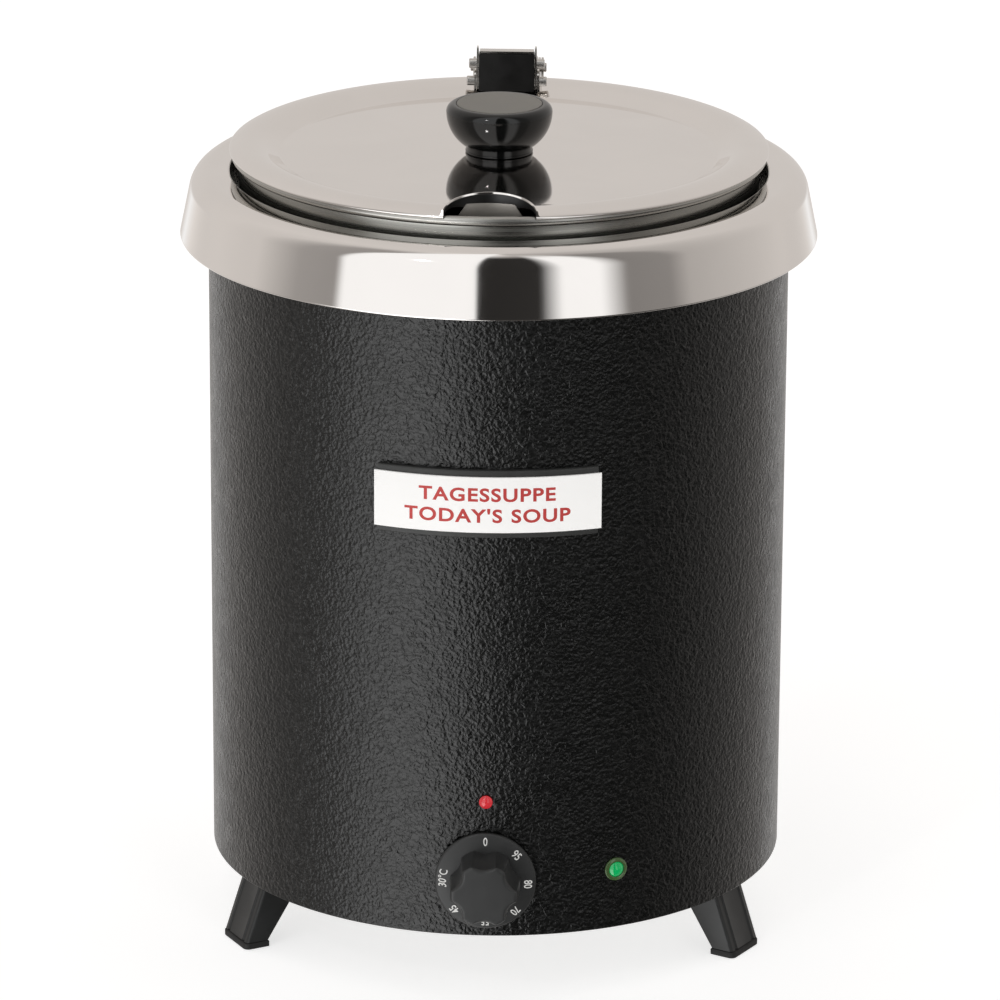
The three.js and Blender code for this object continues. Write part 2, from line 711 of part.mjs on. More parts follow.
function dialKnob() {
  // Turned about the dial's own axis; height 0 is the skirt's back and the front is at full height.
  const depth = DIAL_BACK_Y - DIAL_FRONT_Y;
  const skirt = DIAL_BACK_Y - DIAL_GRIP_Y;
  const body = turned(
    [
      [SHAFT_RADIUS + GAP, DIAL_RECESS],
      [DIAL_RECESS_RADIUS, DIAL_RECESS],
      [DIAL_RECESS_RADIUS, 0],
      [DIAL_SKIRT_RADIUS - 0.6, 0],
      [DIAL_SKIRT_RADIUS, 0.6],
      [DIAL_SKIRT_RADIUS, 1.4],
      [DIAL_SKIRT_RADIUS - 0.8, 2.6],
      [DIAL_GRIP_RADIUS + 0.6, skirt],
      [DIAL_GRIP_RADIUS, skirt + 0.5],
      [DIAL_FACE_RADIUS + 0.3, depth - 1.2],
      [DIAL_FACE_RADIUS - 1, depth],
      [0, depth],
      [0, SHAFT_REACH + 0.8],
      [SHAFT_RADIUS + GAP, SHAFT_REACH + 0.8],
    ],
    SMALL_ROUND,
  );
  const flutes = Array.from({ length: FLUTE_COUNT }, (_, i) =>
    rod(FLUTE_RADIUS, depth, 14)
      .translate(0, 0, skirt + 0.4)
      .rotateY(-FLUTE_LEAN)
      .translate(FLUTE_CENTRE, 0, 0)
      .rotateZ(Math.PI / 2 + (i * 2 * Math.PI) / FLUTE_COUNT),
  );
  return cut(body, ...flutes).rotateX(Math.PI / 2);
}
add("dial_knob", dialKnob(), BLACK_PLASTIC).position.set(0, DIAL_BACK_Y, DIAL_Z);
add(
  "thermostat_shaft",
  rodAlongY(SHAFT_RADIUS, 0, DIAL_BACK_Y - SHAFT_REACH, SHAFT_BACK_Y, DIAL_Z),
  SATIN_STEEL,
);

// ---------------------------------------------------------------- lift-out pot
const POT_SHOULDER_Z = BATH_FLANGE_TOP + GAP;
const RIVET_ANGLE = Math.PI / ROUND; // off the rear centreline, at the middle of a facet of the neck
const RIVET_Z = 403.5;
const RIVET_RADIUS = 1.6;

function rivetHole(angle) {
  return rodAlongY(RIVET_RADIUS + GAP, 0, 130, 142, RIVET_Z).rotateZ(angle);
}

function innerPot() {
  const outer = POT_RADIUS + SHEET;
  const floor = POT_FLOOR - SHEET;
  const neckOuter = POT_NECK_RADIUS + SHEET;
  const beadCentre = POT_NECK_RADIUS + BEAD_RADIUS;
  const pot = turned(
    [
      [0, floor],
      ...arc(outer - POT_CORNER, floor + POT_CORNER, POT_CORNER, -90, 0, 2),
      [outer, POT_SHOULDER_Z],
      [neckOuter, POT_SHOULDER_Z],
      ...arc(beadCentre, BEAD_Z, BEAD_RADIUS, -128, 180, 5),
      [POT_NECK_RADIUS, POT_SHOULDER_Z + SHEET],
      [POT_RADIUS, POT_SHOULDER_Z + SHEET],
      ...arc(outer - POT_CORNER, floor + POT_CORNER, POT_CORNER - SHEET, 0, -90, 2),
      [0, POT_FLOOR],
    ],
    ROUND,
  );
  return cut(pot, rivetHole(RIVET_ANGLE), rivetHole(-RIVET_ANGLE));
}
add("inner_pot", innerPot(), SATIN_STEEL);

const EAR_INNER = BLOCK_HALF_WIDTH + 3 * GAP + 2 * PLATE + 0.15;
const EAR_OUTER = EAR_INNER + 1.2;
const BOSS_RADIUS = 5.5;
const PIVOT_PIN_RADIUS = 2.5;
const WEB_Z = 409.2;
const WEB_THICKNESS = 1.2;
const TAB_BOTTOM = 398.5;

function hingeBracket() {
  const neck = POT_NECK_RADIUS + SHEET + GAP;
  const webTop = WEB_Z + WEB_THICKNESS;
  const web = box(2 * EAR_OUTER, 20, WEB_THICKNESS).translate(0, 142.5, WEB_Z + WEB_THICKNESS / 2);
  const tab = curvedStrip(neck, neck + 1.2, 2 * Math.asin(EAR_OUTER / neck), webTop - TAB_BOTTOM, 12)
    .rotateZ(Math.PI)
    .translate(0, 0, TAB_BOTTOM);
  const ear = new THREE.Shape();
  ear.moveTo(141.6, WEB_Z);
  ear.lineTo(152.5, WEB_Z);
  ear.absarc(PIVOT_Y, PIVOT_Z, BOSS_RADIUS, 0, Math.PI, false);
  const ears = [sidePlate(ear, EAR_INNER, EAR_OUTER), sidePlate(ear, -EAR_OUTER, -EAR_INNER)];
  const insideNeck = rod(neck, 30, 84).translate(0, 0, WEB_Z - 15);
  return cut(
    join(cut(web, insideNeck), tab, ...ears),
    rodAlongX(PIVOT_PIN_RADIUS + GAP, 30, PIVOT_Y, PIVOT_Z),
    rivetHole(RIVET_ANGLE),
    rivetHole(-RIVET_ANGLE),
  );
}
add("hinge_bracket", hingeBracket(), SATIN_STEEL);

function bracketRivet() {
  const inside = POT_NECK_RADIUS - GAP - 0.4;
  const outside = POT_NECK_RADIUS + SHEET + 1.2 + 2 * GAP + 0.1;
  return turned(
    [
      [0, inside - 1],
      [2.4, inside - 1],
      [3, inside],
      [RIVET_RADIUS, inside],
      [RIVET_RADIUS, outside],
      [3, outside],
      [2.4, outside + 1],
      [0, outside + 1],
    ],
    12,
  ).rotateX(-Math.PI / 2);
}
for (const [side, angle] of [
  ["left", RIVET_ANGLE],
  ["right", -RIVET_ANGLE],
]) {
  const rivet = add(`bracket_rivet_${side}`, bracketRivet(), SATIN_STEEL);
  rivet.position.z = RIVET_Z;
  rivet.rotation.z = angle;
}
add("hinge_pin", rodAlongX(PIVOT_PIN_RADIUS, EAR_OUTER + 1.6, PIVOT_Y, PIVOT_Z), POLISHED_STEEL);

// ---------------------------------------------------------------- lid
const UNDER_LID_Z = LID_PANEL_Z - 12; // a level well below the lid, where cuts through it start

// The space below the lid's upper surface, raised by an offset.
function belowLid(offset) {
  const curve = BRIM_CURVE + offset;
  const centreZ = BRIM_CROWN_Z - BRIM_CURVE;
  return turned(
    [
      [0, UNDER_LID_Z],
      [LID_EDGE_RADIUS + 6, UNDER_LID_Z],
      [LID_EDGE_RADIUS + 6, LID_PANEL_Z],
      ...arc(BRIM_CROWN_RADIUS, centreZ, curve, 50, BRIM_START, 7),
      [LID_PANEL_RADIUS - offset * 0.6, LID_PANEL_Z + offset],
      [0, LID_PANEL_Z + offset],
    ],
    ROUND,
  );
}

function ellipsePrism(halfWidth, depth, bottom, height) {
  const shape = new THREE.Shape();
  shape.moveTo(halfWidth, NOTCH_CENTRE_Y - 6);
  shape.lineTo(halfWidth, NOTCH_CENTRE_Y);
  shape.absellipse(0, NOTCH_CENTRE_Y, halfWidth, depth, 0, Math.PI, false);
  shape.lineTo(-halfWidth, NOTCH_CENTRE_Y - 6);
  return prism(shape, height, 10).translate(0, 0, bottom);
}

const BLOCK_SCREW_X = 8;
const BLOCK_SCREW_Y = 127;
const BLOCK_SCREW_RADIUS = 1.7;
const KNOB_SCREW_RADIUS = 2.5;

function lidDisc() {
  const centreZ = BRIM_CROWN_Z - BRIM_CURVE;
  const sheet = turned(
    [
      [KNOB_SCREW_RADIUS + GAP, LID_PANEL_Z],
      [LID_PANEL_RADIUS, LID_PANEL_Z],
      ...arc(BRIM_CROWN_RADIUS, centreZ, BRIM_CURVE, BRIM_START, 56, 5),
      [LID_EDGE_RADIUS, BRIM_CROWN_Z - 3.6],
      [LID_EDGE_RADIUS, BRIM_CROWN_Z - 4.1],
      [LID_EDGE_RADIUS - 0.6, BRIM_CROWN_Z - 4.4],
      ...arc(BRIM_CROWN_RADIUS, centreZ, BRIM_CURVE - LID_SHEET, 56, BRIM_START, 4),
      [LID_PANEL_RADIUS + 0.5, LID_PANEL_Z - LID_SHEET],
      [KNOB_SCREW_RADIUS + GAP, LID_PANEL_Z - LID_SHEET],
    ],
    ROUND,
  );
  // The notch has a turned-up lip whose height falls towards the lid's edge.
  const lipRing = cut(
    ellipsePrism(NOTCH_HALF_WIDTH + NOTCH_LIP, NOTCH_DEPTH + NOTCH_LIP, LID_PANEL_Z - 7, 25),
    ellipsePrism(NOTCH_HALF_WIDTH, NOTCH_DEPTH, UNDER_LID_Z, 40),
    box(80, 20, 60).translate(0, NOTCH_CENTRE_Y - 10, LID_PANEL_Z),
  );
  const slope = Math.atan(NOTCH_LIP_SLOPE);
  const aboveLip = box(120, 80, 40)
    .translate(0, 0, 20)
    .rotateX(slope)
    .translate(0, NOTCH_CENTRE_Y + NOTCH_DEPTH, NOTCH_LIP_Z);
  const lip = cut(lipRing, aboveLip, belowLid(-LID_SHEET));
  const screwHole = (x) => rod(BLOCK_SCREW_RADIUS + GAP, 40).translate(x, BLOCK_SCREW_Y, UNDER_LID_Z);
  return cut(
    join(sheet, lip),
    ellipsePrism(NOTCH_HALF_WIDTH, NOTCH_DEPTH, UNDER_LID_Z, 40),
    screwHole(BLOCK_SCREW_X),
    screwHole(-BLOCK_SCREW_X),
  );
}
add("lid_disc", lidDisc(), POLISHED_STEEL);

const KNOB_SCREW_TOP = KNOB_TOP_Z - 10;

function lidKnob() {
  const base = LID_PANEL_Z + GAP;
  const neckTop = LID_PANEL_Z + KNOB_NECK_HEIGHT;
  const curve = 21.5;
  const rim = 4.3;
  return turned(
    [
      [KNOB_SCREW_RADIUS + GAP, base],
      [KNOB_NECK_RADIUS - 0.4, base],
      [KNOB_NECK_RADIUS, base + 0.4],
      [KNOB_NECK_RADIUS, neckTop],
      ...arc(KNOB_RADIUS - curve, KNOB_WIDEST_Z, curve, -54, 0, 5),
      ...arc(KNOB_RADIUS - rim, KNOB_TOP_Z - rim, rim, 0, 90, 3),
      [KNOB_CAP_RADIUS + GAP, KNOB_TOP_Z],
      [KNOB_CAP_RADIUS + GAP, KNOB_TOP_Z - 1.4],
      [0, KNOB_TOP_Z - 1.4],
      [0, KNOB_SCREW_TOP + 1],
      [KNOB_SCREW_RADIUS + GAP, KNOB_SCREW_TOP + 1],
    ],
    SMALL_ROUND,
  );
}
add("lid_knob", lidKnob(), GLOSS_BLACK);
add(
  "knob_cap",
  turned(
    [
      [0, KNOB_TOP_Z - 1.1],
      [KNOB_CAP_RADIUS, KNOB_TOP_Z - 1.1],
      [KNOB_CAP_RADIUS, KNOB_TOP_Z],
      [KNOB_CAP_RADIUS - 0.4, KNOB_TOP_Z + 0.3],
      [0, KNOB_TOP_Z + 0.3],
    ],
    SMALL_ROUND,
  ),
  GREY_CAP,
);
add(
  "knob_screw",
  turned(
    [
      [0, LID_PANEL_Z - 4],
      [4.2, LID_PANEL_Z - 4],
      [5.2, LID_PANEL_Z - 2.8],
      [5.2, LID_PANEL_Z - LID_SHEET - GAP],
      [KNOB_SCREW_RADIUS, LID_PANEL_Z - LID_SHEET - GAP],
      [KNOB_SCREW_RADIUS, KNOB_SCREW_TOP],
      [0, KNOB_SCREW_TOP],
    ],
    16,
  ),
  SATIN_STEEL,
);

// ---------------------------------------------------------------- lid hinge
const BLOCK_FLAT_Y = 119;
const BLOCK_REAR_Y = 137;
const BLOCK_REAR_Z = 429.5;
const BLOCK_SCREW_SEAT = LID_PANEL_Z + 3.6;
const BLOCK_SCREW_TOP = LID_PANEL_Z + 15;

function hingeBlock() {
  const outline = polygon([
    [BLOCK_FRONT_Y, BLOCK_BOTTOM_Z],
    [BLOCK_REAR_Y, BLOCK_BOTTOM_Z],
    [BLOCK_REAR_Y, BLOCK_REAR_Z],
    [BLOCK_FLAT_Y, BLOCK_TOP_Z],
    [BLOCK_FRONT_Y, BLOCK_TOP_Z],
  ]);
  const screwHole = (x) => rod(BLOCK_SCREW_RADIUS + GAP, 18).translate(x, BLOCK_SCREW_Y, LID_PANEL_Z - 2);
  return cut(
    sidePlate(outline, -BLOCK_HALF_WIDTH, BLOCK_HALF_WIDTH),
    belowLid(GAP),
    rodAlongX(PIN_RADIUS + GAP, 20, PIN_Y, LOWER_PIN_Z),
    rodAlongX(PIN_RADIUS + GAP, 20, PIN_Y, UPPER_PIN_Z),
    screwHole(BLOCK_SCREW_X),
    screwHole(-BLOCK_SCREW_X),
  );
}
add("hinge_block", hingeBlock(), BLACK_PLASTIC);

function hingeCover() {
  const bottom = BLOCK_TOP_Z + GAP;
  const outline = polygon([
    [BLOCK_FRONT_Y + 0.2, bottom],
    [BLOCK_FLAT_Y + 0.1, bottom],
    [BLOCK_REAR_Y + 0.1, BLOCK_REAR_Z + GAP + 0.1],
    [BLOCK_REAR_Y + 0.1, BLOCK_REAR_Z + GAP + 1.25],
    [BLOCK_FLAT_Y + 0.4, bottom + PLATE],
    [BLOCK_FRONT_Y + 0.2, bottom + PLATE],
  ]);
  const half = BLOCK_HALF_WIDTH - 0.35;
  return sidePlate(outline, -half, half);
}
add("hinge_cover", hingeCover(), POLISHED_STEEL);

const PLATE_FRONT_Y = BLOCK_FRONT_Y + 0.7;
// Each side has a tall inner plate and a lower outer link. Both turn on the hinge pin, and both follow
// the lid's brim along their lower edge.
function sideOutline(frontTop) {
  const shape = new THREE.Shape();
  shape.moveTo(PLATE_FRONT_Y, PIVOT_Z - 3.8);
  frontTop(shape);
  shape.lineTo(PIVOT_Y + 1, PIVOT_Z + BOSS_RADIUS - 0.1);
  shape.absarc(PIVOT_Y, PIVOT_Z, BOSS_RADIUS, Math.PI / 2 - 0.2, -Math.PI, true);
  const alongBrim = [
    [139.5, -0.4],
    [126, -0.8],
    [122, -1.9],
    [119.3, -3],
    [117.5, -3.6],
  ];
  alongBrim.forEach(([y, rise]) => shape.lineTo(y, PIVOT_Z + rise));
  return shape;
}

const tallFront = (shape) => {
  shape.lineTo(PLATE_FRONT_Y, PIVOT_Z + 14);
  shape.quadraticCurveTo(PLATE_FRONT_Y + 0.5, PIVOT_Z + 18, PLATE_FRONT_Y + 2.7, PIVOT_Z + 19.5);
  shape.quadraticCurveTo(PLATE_FRONT_Y + 6.3, PIVOT_Z + 16, PLATE_FRONT_Y + 8.3, PIVOT_Z + 13);
};

const lowFront = (shape) => {
  shape.lineTo(PLATE_FRONT_Y, PIVOT_Z + 4);
  shape.quadraticCurveTo(PIN_Y, PIVOT_Z + 7, PLATE_FRONT_Y + 8.3, PIVOT_Z + 6);
};

function hingeSide(frontTop, innerX, side) {
  const [fromX, toX] = side > 0 ? [innerX, innerX + PLATE] : [-innerX - PLATE, -innerX];
  return cut(
    sidePlate(sideOutline(frontTop), fromX, toX),
    rodAlongX(PIN_RADIUS + GAP, 30, PIN_Y, LOWER_PIN_Z),
    rodAlongX(PIN_RADIUS + GAP, 30, PIN_Y, UPPER_PIN_Z),
    rodAlongX(PIVOT_PIN_RADIUS + GAP, 30, PIVOT_Y, PIVOT_Z),
  );
}

const PLATE_X = BLOCK_HALF_WIDTH + GAP;
const LINK_X = PLATE_X + PLATE + GAP;
for (const [name, side] of [
  ["left", -1],
  ["right", 1],
]) {
  add(`hinge_plate_${name}`, hingeSide(tallFront, PLATE_X, side), POLISHED_STEEL);
  add(`hinge_link_${name}`, hingeSide(lowFront, LINK_X, side), POLISHED_STEEL);
}
add("upper_block_pin", rodAlongX(PIN_RADIUS, 20.4, PIN_Y, UPPER_PIN_Z), SATIN_STEEL);
add("lower_block_pin", rodAlongX(PIN_RADIUS, 21.6, PIN_Y, LOWER_PIN_Z), SATIN_STEEL);

function blockScrew() {
  return turned(
    [
      [0, BLOCK_SCREW_SEAT - 2],
      [2.6, BLOCK_SCREW_SEAT - 2],
      [3.2, BLOCK_SCREW_SEAT - 1.2],
      [3.2, BLOCK_SCREW_SEAT],
      [BLOCK_SCREW_RADIUS, BLOCK_SCREW_SEAT],
      [BLOCK_SCREW_RADIUS, BLOCK_SCREW_TOP],
      [0, BLOCK_SCREW_TOP],
    ],
    12,
  );
}
for (const [side, x] of [
  ["left", -BLOCK_SCREW_X],
  ["right", BLOCK_SCREW_X],
]) {
  add(`block_screw_${side}`, blockScrew(), SATIN_STEEL).position.set(x, BLOCK_SCREW_Y, 0);
}

export default root;
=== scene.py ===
"""The looks of the soup kettle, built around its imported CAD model. Metres, +Z up, front is -Y."""

import math

import bmesh
import bpy
from mathutils import Matrix, Vector


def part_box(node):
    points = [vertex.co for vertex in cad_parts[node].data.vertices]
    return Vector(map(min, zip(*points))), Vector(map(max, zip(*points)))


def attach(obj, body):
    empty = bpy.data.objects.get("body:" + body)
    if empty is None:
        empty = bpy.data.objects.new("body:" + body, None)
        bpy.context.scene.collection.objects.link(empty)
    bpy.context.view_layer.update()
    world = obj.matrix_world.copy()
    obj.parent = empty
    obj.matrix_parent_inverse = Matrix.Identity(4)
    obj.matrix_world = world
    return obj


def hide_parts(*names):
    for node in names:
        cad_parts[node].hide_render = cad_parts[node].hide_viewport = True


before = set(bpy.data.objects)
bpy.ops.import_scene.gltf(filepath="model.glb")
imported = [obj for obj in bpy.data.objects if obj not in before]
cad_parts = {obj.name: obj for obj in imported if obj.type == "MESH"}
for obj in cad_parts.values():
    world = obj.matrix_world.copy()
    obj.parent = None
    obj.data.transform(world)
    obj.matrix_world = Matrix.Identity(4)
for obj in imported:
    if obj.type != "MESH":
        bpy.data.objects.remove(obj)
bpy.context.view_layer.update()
scene = bpy.context.scene

MM = 0.001
FINE = 256  # segments of the large turned pieces
MEDIUM = 128  # segments of the hand-sized turned pieces
SMALL = 48  # segments of the screws and pins
SHARP_DEGREES = 38  # edges that bend more than this are shaded as sharp

# Every length from here down to the studio is in millimetres. Colours are linear red, green and blue.
SHEET = 1.0  # thickness of the sheet metal
SCREW_BORE_R = 2.8  # hole for the knob's screw, through the lid and into the knob


def in_mm(node):
    """The lowest and highest corners of a CAD node, in millimetres."""
    low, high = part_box(node)
    return low / MM, high / MM


# ---------------------------------------------------------------- outlines
def arc(centre_x, centre_y, radius, start, end, steps):
    """Points on an arc, angles in degrees."""
    angles = [math.radians(start + (end - start) * i / steps) for i in range(steps + 1)]
    return [(centre_x + radius * math.cos(a), centre_y + radius * math.sin(a)) for a in angles]


def rounded(corners, steps=5):
    """A closed outline whose (x, y, radius) corners become arcs. An (x, y) corner stays sharp."""
    points = []
    for i, corner in enumerate(corners):
        here = Vector(corner[:2])
        if len(corner) == 2:
            points.append(tuple(here))
            continue
        before = (Vector(corners[i - 1][:2]) - here).normalized()
        after = (Vector(corners[(i + 1) % len(corners)][:2]) - here).normalized()
        half = before.angle(after) / 2
        centre = here + (before + after).normalized() * corner[2] / math.sin(half)
        start = here + before * corner[2] / math.tan(half) - centre
        end = here + after * corner[2] / math.tan(half) - centre
        first = math.atan2(start.y, start.x)
        sweep = (math.atan2(end.y, end.x) - first + math.pi) % (2 * math.pi) - math.pi
        points += arc(*centre, corner[2], math.degrees(first), math.degrees(first + sweep), steps)
    return points


# ---------------------------------------------------------------- meshes
def smooth(mesh, sharp_degrees=SHARP_DEGREES):
    for face in mesh.polygons:
        face.use_smooth = True
    mesh.set_sharp_from_angle(angle=math.radians(sharp_degrees))


def to_object(name, shape, sharp_degrees=SHARP_DEGREES):
    """An object in the scene from a finished bmesh, welded and with its faces turned outwards."""
    bmesh.ops.remove_doubles(shape, verts=shape.verts, dist=1e-7)
    bmesh.ops.recalc_face_normals(shape, faces=shape.faces)
    mesh = bpy.data.meshes.new(name)
    shape.to_mesh(mesh)
    shape.free()
    smooth(mesh, sharp_degrees)
    piece = bpy.data.objects.new(name, mesh)
    scene.collection.objects.link(piece)
    return piece


def skin(shape, rings, closed=True):
    """Faces between neighbouring rings of vertices. A ring of one vertex closes to a point."""
    pairs = list(zip(rings, rings[1:]))
    if closed:
        pairs.append((rings[-1], rings[0]))
    for first, second in pairs:
        count = max(len(first), len(second))
        if count == 1:
            continue
        for i in range(count):
            j = (i + 1) % count
            corners = [ring[k % len(ring)] for ring, k in ((first, i), (first, j), (second, j), (second, i))]
            unique = list(dict.fromkeys(corners))
            if len(unique) > 2:
                shape.faces.new(unique)


def turned(name, outline, segments=FINE, turn=Matrix()):
    """Turns a closed [radius, height] outline about Z, then places it by a matrix in millimetres."""
    shape = bmesh.new()
    rings = []
    for radius, height in outline:
        count = 1 if radius < 1e-6 else segments
        spots = [
            Vector((radius * math.cos(a), radius * math.sin(a), height))
            for a in (2 * math.pi * i / segments for i in range(count))
        ]
        rings.append([shape.verts.new((turn @ spot) * MM) for spot in spots])
    skin(shape, rings)
    piece = to_object(name, shape)
    weighted = piece.modifiers.new("flat_faces_first", "WEIGHTED_NORMAL")
    weighted.keep_sharp = True
    return piece


def loft(name, sections, sharp_degrees=SHARP_DEGREES):
    """A closed body through rings of points, capped at both ends. Points are in millimetres."""
    shape = bmesh.new()
    rings = [[shape.verts.new(Vector(point) * MM) for point in section] for section in sections]
    skin(shape, rings, closed=False)
    shape.faces.new(rings[0])
    shape.faces.new(list(reversed(rings[-1])))
    return to_object(name, shape, sharp_degrees)


def bevel(piece, width):
    """Breaks a piece's edges without touching its mesh."""
    made = piece.modifiers.new("worn_edges", "BEVEL")
    made.width = width * MM
    made.segments = 3
    made.limit_method = "ANGLE"
    made.angle_limit = math.radians(35)
    made.harden_normals = True


def without(piece, tool):
    """Cuts a tool out of a piece for good, and removes the tool."""
    made = piece.modifiers.new("cut", "BOOLEAN")
    made.operation = "DIFFERENCE"
    made.solver = "EXACT"
    made.object = tool
    piece.modifiers.move(len(piece.modifiers) - 1, 0)
    weighted = [m for m in piece.modifiers if m.type == "WEIGHTED_NORMAL"]
    for modifier in weighted:
        piece.modifiers.remove(modifier)
    cut_mesh = bpy.data.meshes.new_from_object(piece.evaluated_get(bpy.context.evaluated_depsgraph_get()))
    piece.modifiers.clear()
    piece.data = cut_mesh
    smooth(cut_mesh)
    if weighted:
        piece.modifiers.new("flat_faces_first", "WEIGHTED_NORMAL").keep_sharp = True
    bpy.data.objects.remove(tool)
    return piece


def wear(piece, body, material, replaces=()):
    """Gives a new piece its material and its body, and hides the CAD nodes it stands for."""
    piece.data.materials.clear()
    piece.data.materials.append(material)
    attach(piece, body)
    if replaces:
        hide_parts(*replaces)
    return piece


# ---------------------------------------------------------------- material nodes
class Surface:
    """A Principled material, with short calls for the nodes that feed it."""

    def __init__(self, name, roughness=0.4, metallic=0.0, **sockets):
        self.material = bpy.data.materials.new(name)
        self.material.use_nodes = True
        self.tree = self.material.node_tree
        self.shader = self.tree.nodes["Principled BSDF"]
        self.shader.inputs["Roughness"].default_value = roughness
        self.shader.inputs["Metallic"].default_value = metallic
        for socket, value in sockets.items():
            self.shader.inputs[socket.replace("_", " ")].default_value = value
        self.place = self.tree.nodes.new("ShaderNodeTexCoord").outputs["Object"]

    def feed(self, source, target):
        self.tree.links.new(source, target)

    def stretched(self, x, y, z):
        mapping = self.tree.nodes.new("ShaderNodeMapping")
        mapping.inputs["Scale"].default_value = (x, y, z)
        self.feed(self.place, mapping.inputs["Vector"])
        return mapping.outputs["Vector"]

    def around_axis(self):
        """Coordinates (distance from the axis, height, 0), so that noise in them makes rings."""
        apart = self.tree.nodes.new("ShaderNodeSeparateXYZ")
        together = self.tree.nodes.new("ShaderNodeCombineXYZ")
        self.feed(self.place, apart.inputs[0])
        flat = self.tree.nodes.new("ShaderNodeCombineXYZ")
        self.feed(apart.outputs["X"], flat.inputs["X"])
        self.feed(apart.outputs["Y"], flat.inputs["Y"])
        length = self.tree.nodes.new("ShaderNodeVectorMath")
        length.operation = "LENGTH"
        self.feed(flat.outputs[0], length.inputs[0])
        self.feed(length.outputs["Value"], together.inputs["X"])
        self.feed(apart.outputs["Z"], together.inputs["Y"])
        return together.outputs[0]

    def noise(self, scale, detail=3.0, distortion=0.0, vector=None, roughness=0.5):
        node = self.tree.nodes.new("ShaderNodeTexNoise")
        node.inputs["Scale"].default_value = scale
        node.inputs["Detail"].default_value = detail
        node.inputs["Roughness"].default_value = roughness
        node.inputs["Distortion"].default_value = distortion
        self.feed(vector or self.place, node.inputs["Vector"])
        return node.outputs["Fac"]

    def cells(self, scale, smoothness):
        node = self.tree.nodes.new("ShaderNodeTexVoronoi")
        node.feature = "SMOOTH_F1"
        node.inputs["Scale"].default_value = scale
        node.inputs["Smoothness"].default_value = smoothness
        self.feed(self.place, node.inputs["Vector"])
        return node.outputs["Distance"]

    def math(self, operation, first, second):
        node = self.tree.nodes.new("ShaderNodeMath")
        node.operation = operation
        for socket, value in zip(node.inputs, (first, second)):
            if isinstance(value, (int, float)):
                socket.default_value = value
            else:
                self.feed(value, socket)
        return node.outputs[0]

    def spread(self, factor, low, high, start=0.3, end=0.7):
        """Low where the factor is at start or under, high where it is at end or over."""
        node = self.tree.nodes.new("ShaderNodeMapRange")
        for socket, value in zip(("From Min", "From Max", "To Min", "To Max"), (start, end, low, high)):
            node.inputs[socket].default_value = value
        self.feed(factor, node.inputs["Value"])
        return node.outputs["Result"]

    def colours(self, factor, stops):
        node = self.tree.nodes.new("ShaderNodeValToRGB")
        ramp = node.color_ramp
        while len(ramp.elements) < len(stops):
            ramp.elements.new(0.5)
        for element, (position, colour) in zip(ramp.elements, stops):
            element.position = position
            element.color = (*colour, 1)
        self.feed(factor, node.inputs["Fac"])
        return node.outputs["Color"]

    def bump(self, height, depth, strength=1.0, under=None):
        """A bumpy normal, as deep as depth in millimetres, on top of the bumps under it."""
        node = self.tree.nodes.new("ShaderNodeBump")
        node.inputs["Strength"].default_value = strength
        node.inputs["Distance"].default_value = depth * MM
        self.feed(height, node.inputs["Height"])
        if under:
            self.feed(under, node.inputs["Normal"])
        return node.outputs["Normal"]

    def set(self, socket, source):
        self.feed(source, self.shader.inputs[socket])


def shades(colour, low, high):
    """The same colour, darker and lighter."""
    return [(0.3, tuple(c * low for c in colour)), (0.7, tuple(c * high for c in colour))]


# ---------------------------------------------------------------- materials
def powder_coat():
    """Thick black powder coat with a leathery skin of bumps one to two millimetres across."""
    s = Surface("black_powder_coat", IOR=1.5)
    warp = s.noise(260, 2, 0)
    wide = s.noise(330, 2.5, 0.9, roughness=0.55)
    pebbles = s.cells(560, 0.8)
    leather = s.math("ADD", s.math("MULTIPLY", wide, 1.1), s.math("MULTIPLY", pebbles, 0.55))
    leather = s.math("ADD", leather, s.math("MULTIPLY", warp, 0.4))
    fine = s.noise(1500, 2)
    s.set("Base Color", s.colours(wide, shades((0.003, 0.0033, 0.0031), 0.7, 1.3)))
    s.set("Roughness", s.spread(s.noise(90, 3), 0.24, 0.33))
    s.set("Normal", s.bump(leather, 0.6, 1.0, s.bump(fine, 0.012, 0.5)))
    return s.material


def polished_steel():
    """Mirror-polished stainless steel with faint polishing rings and slow waves in the sheet."""
    s = Surface("polished_steel", metallic=1.0)
    rings = s.noise(2600, 2, 0, s.around_axis())
    smears = s.noise(24, 4, 0.6)
    mix = s.math("ADD", s.math("MULTIPLY", rings, 0.4), s.math("MULTIPLY", smears, 0.6))
    s.set("Base Color", s.colours(smears, shades((0.86, 0.83, 0.805), 0.985, 1.01)))
    s.set("Roughness", s.spread(mix, 0.035, 0.085))
    s.set("Normal", s.bump(s.noise(9, 1), 0.12, 0.25, s.bump(rings, 0.0006, 0.4)))
    return s.material


def satin_steel(name, colour, rough_low, rough_high, grain=1400):
    """Stainless steel with fine turning or rolling lines."""
    s = Surface(name, metallic=1.0)
    lines = s.noise(grain, 3, 0, s.around_axis())
    blotches = s.noise(60, 4, 0.4)
    mix = s.math("ADD", s.math("MULTIPLY", lines, 0.6), s.math("MULTIPLY", blotches, 0.4))
    s.set("Base Color", s.colours(blotches, shades(colour, 0.93, 1.04)))
    s.set("Roughness", s.spread(mix, rough_low, rough_high))
    s.set("Normal", s.bump(lines, 0.004, 0.5))
    return s.material


SHADE_STARTS_M = (0.375, 0.4)  # heights, in metres, between which the painted shade grows
SHADE_FADES_M = (0.4132, 0.4148)  # and between which it fades again


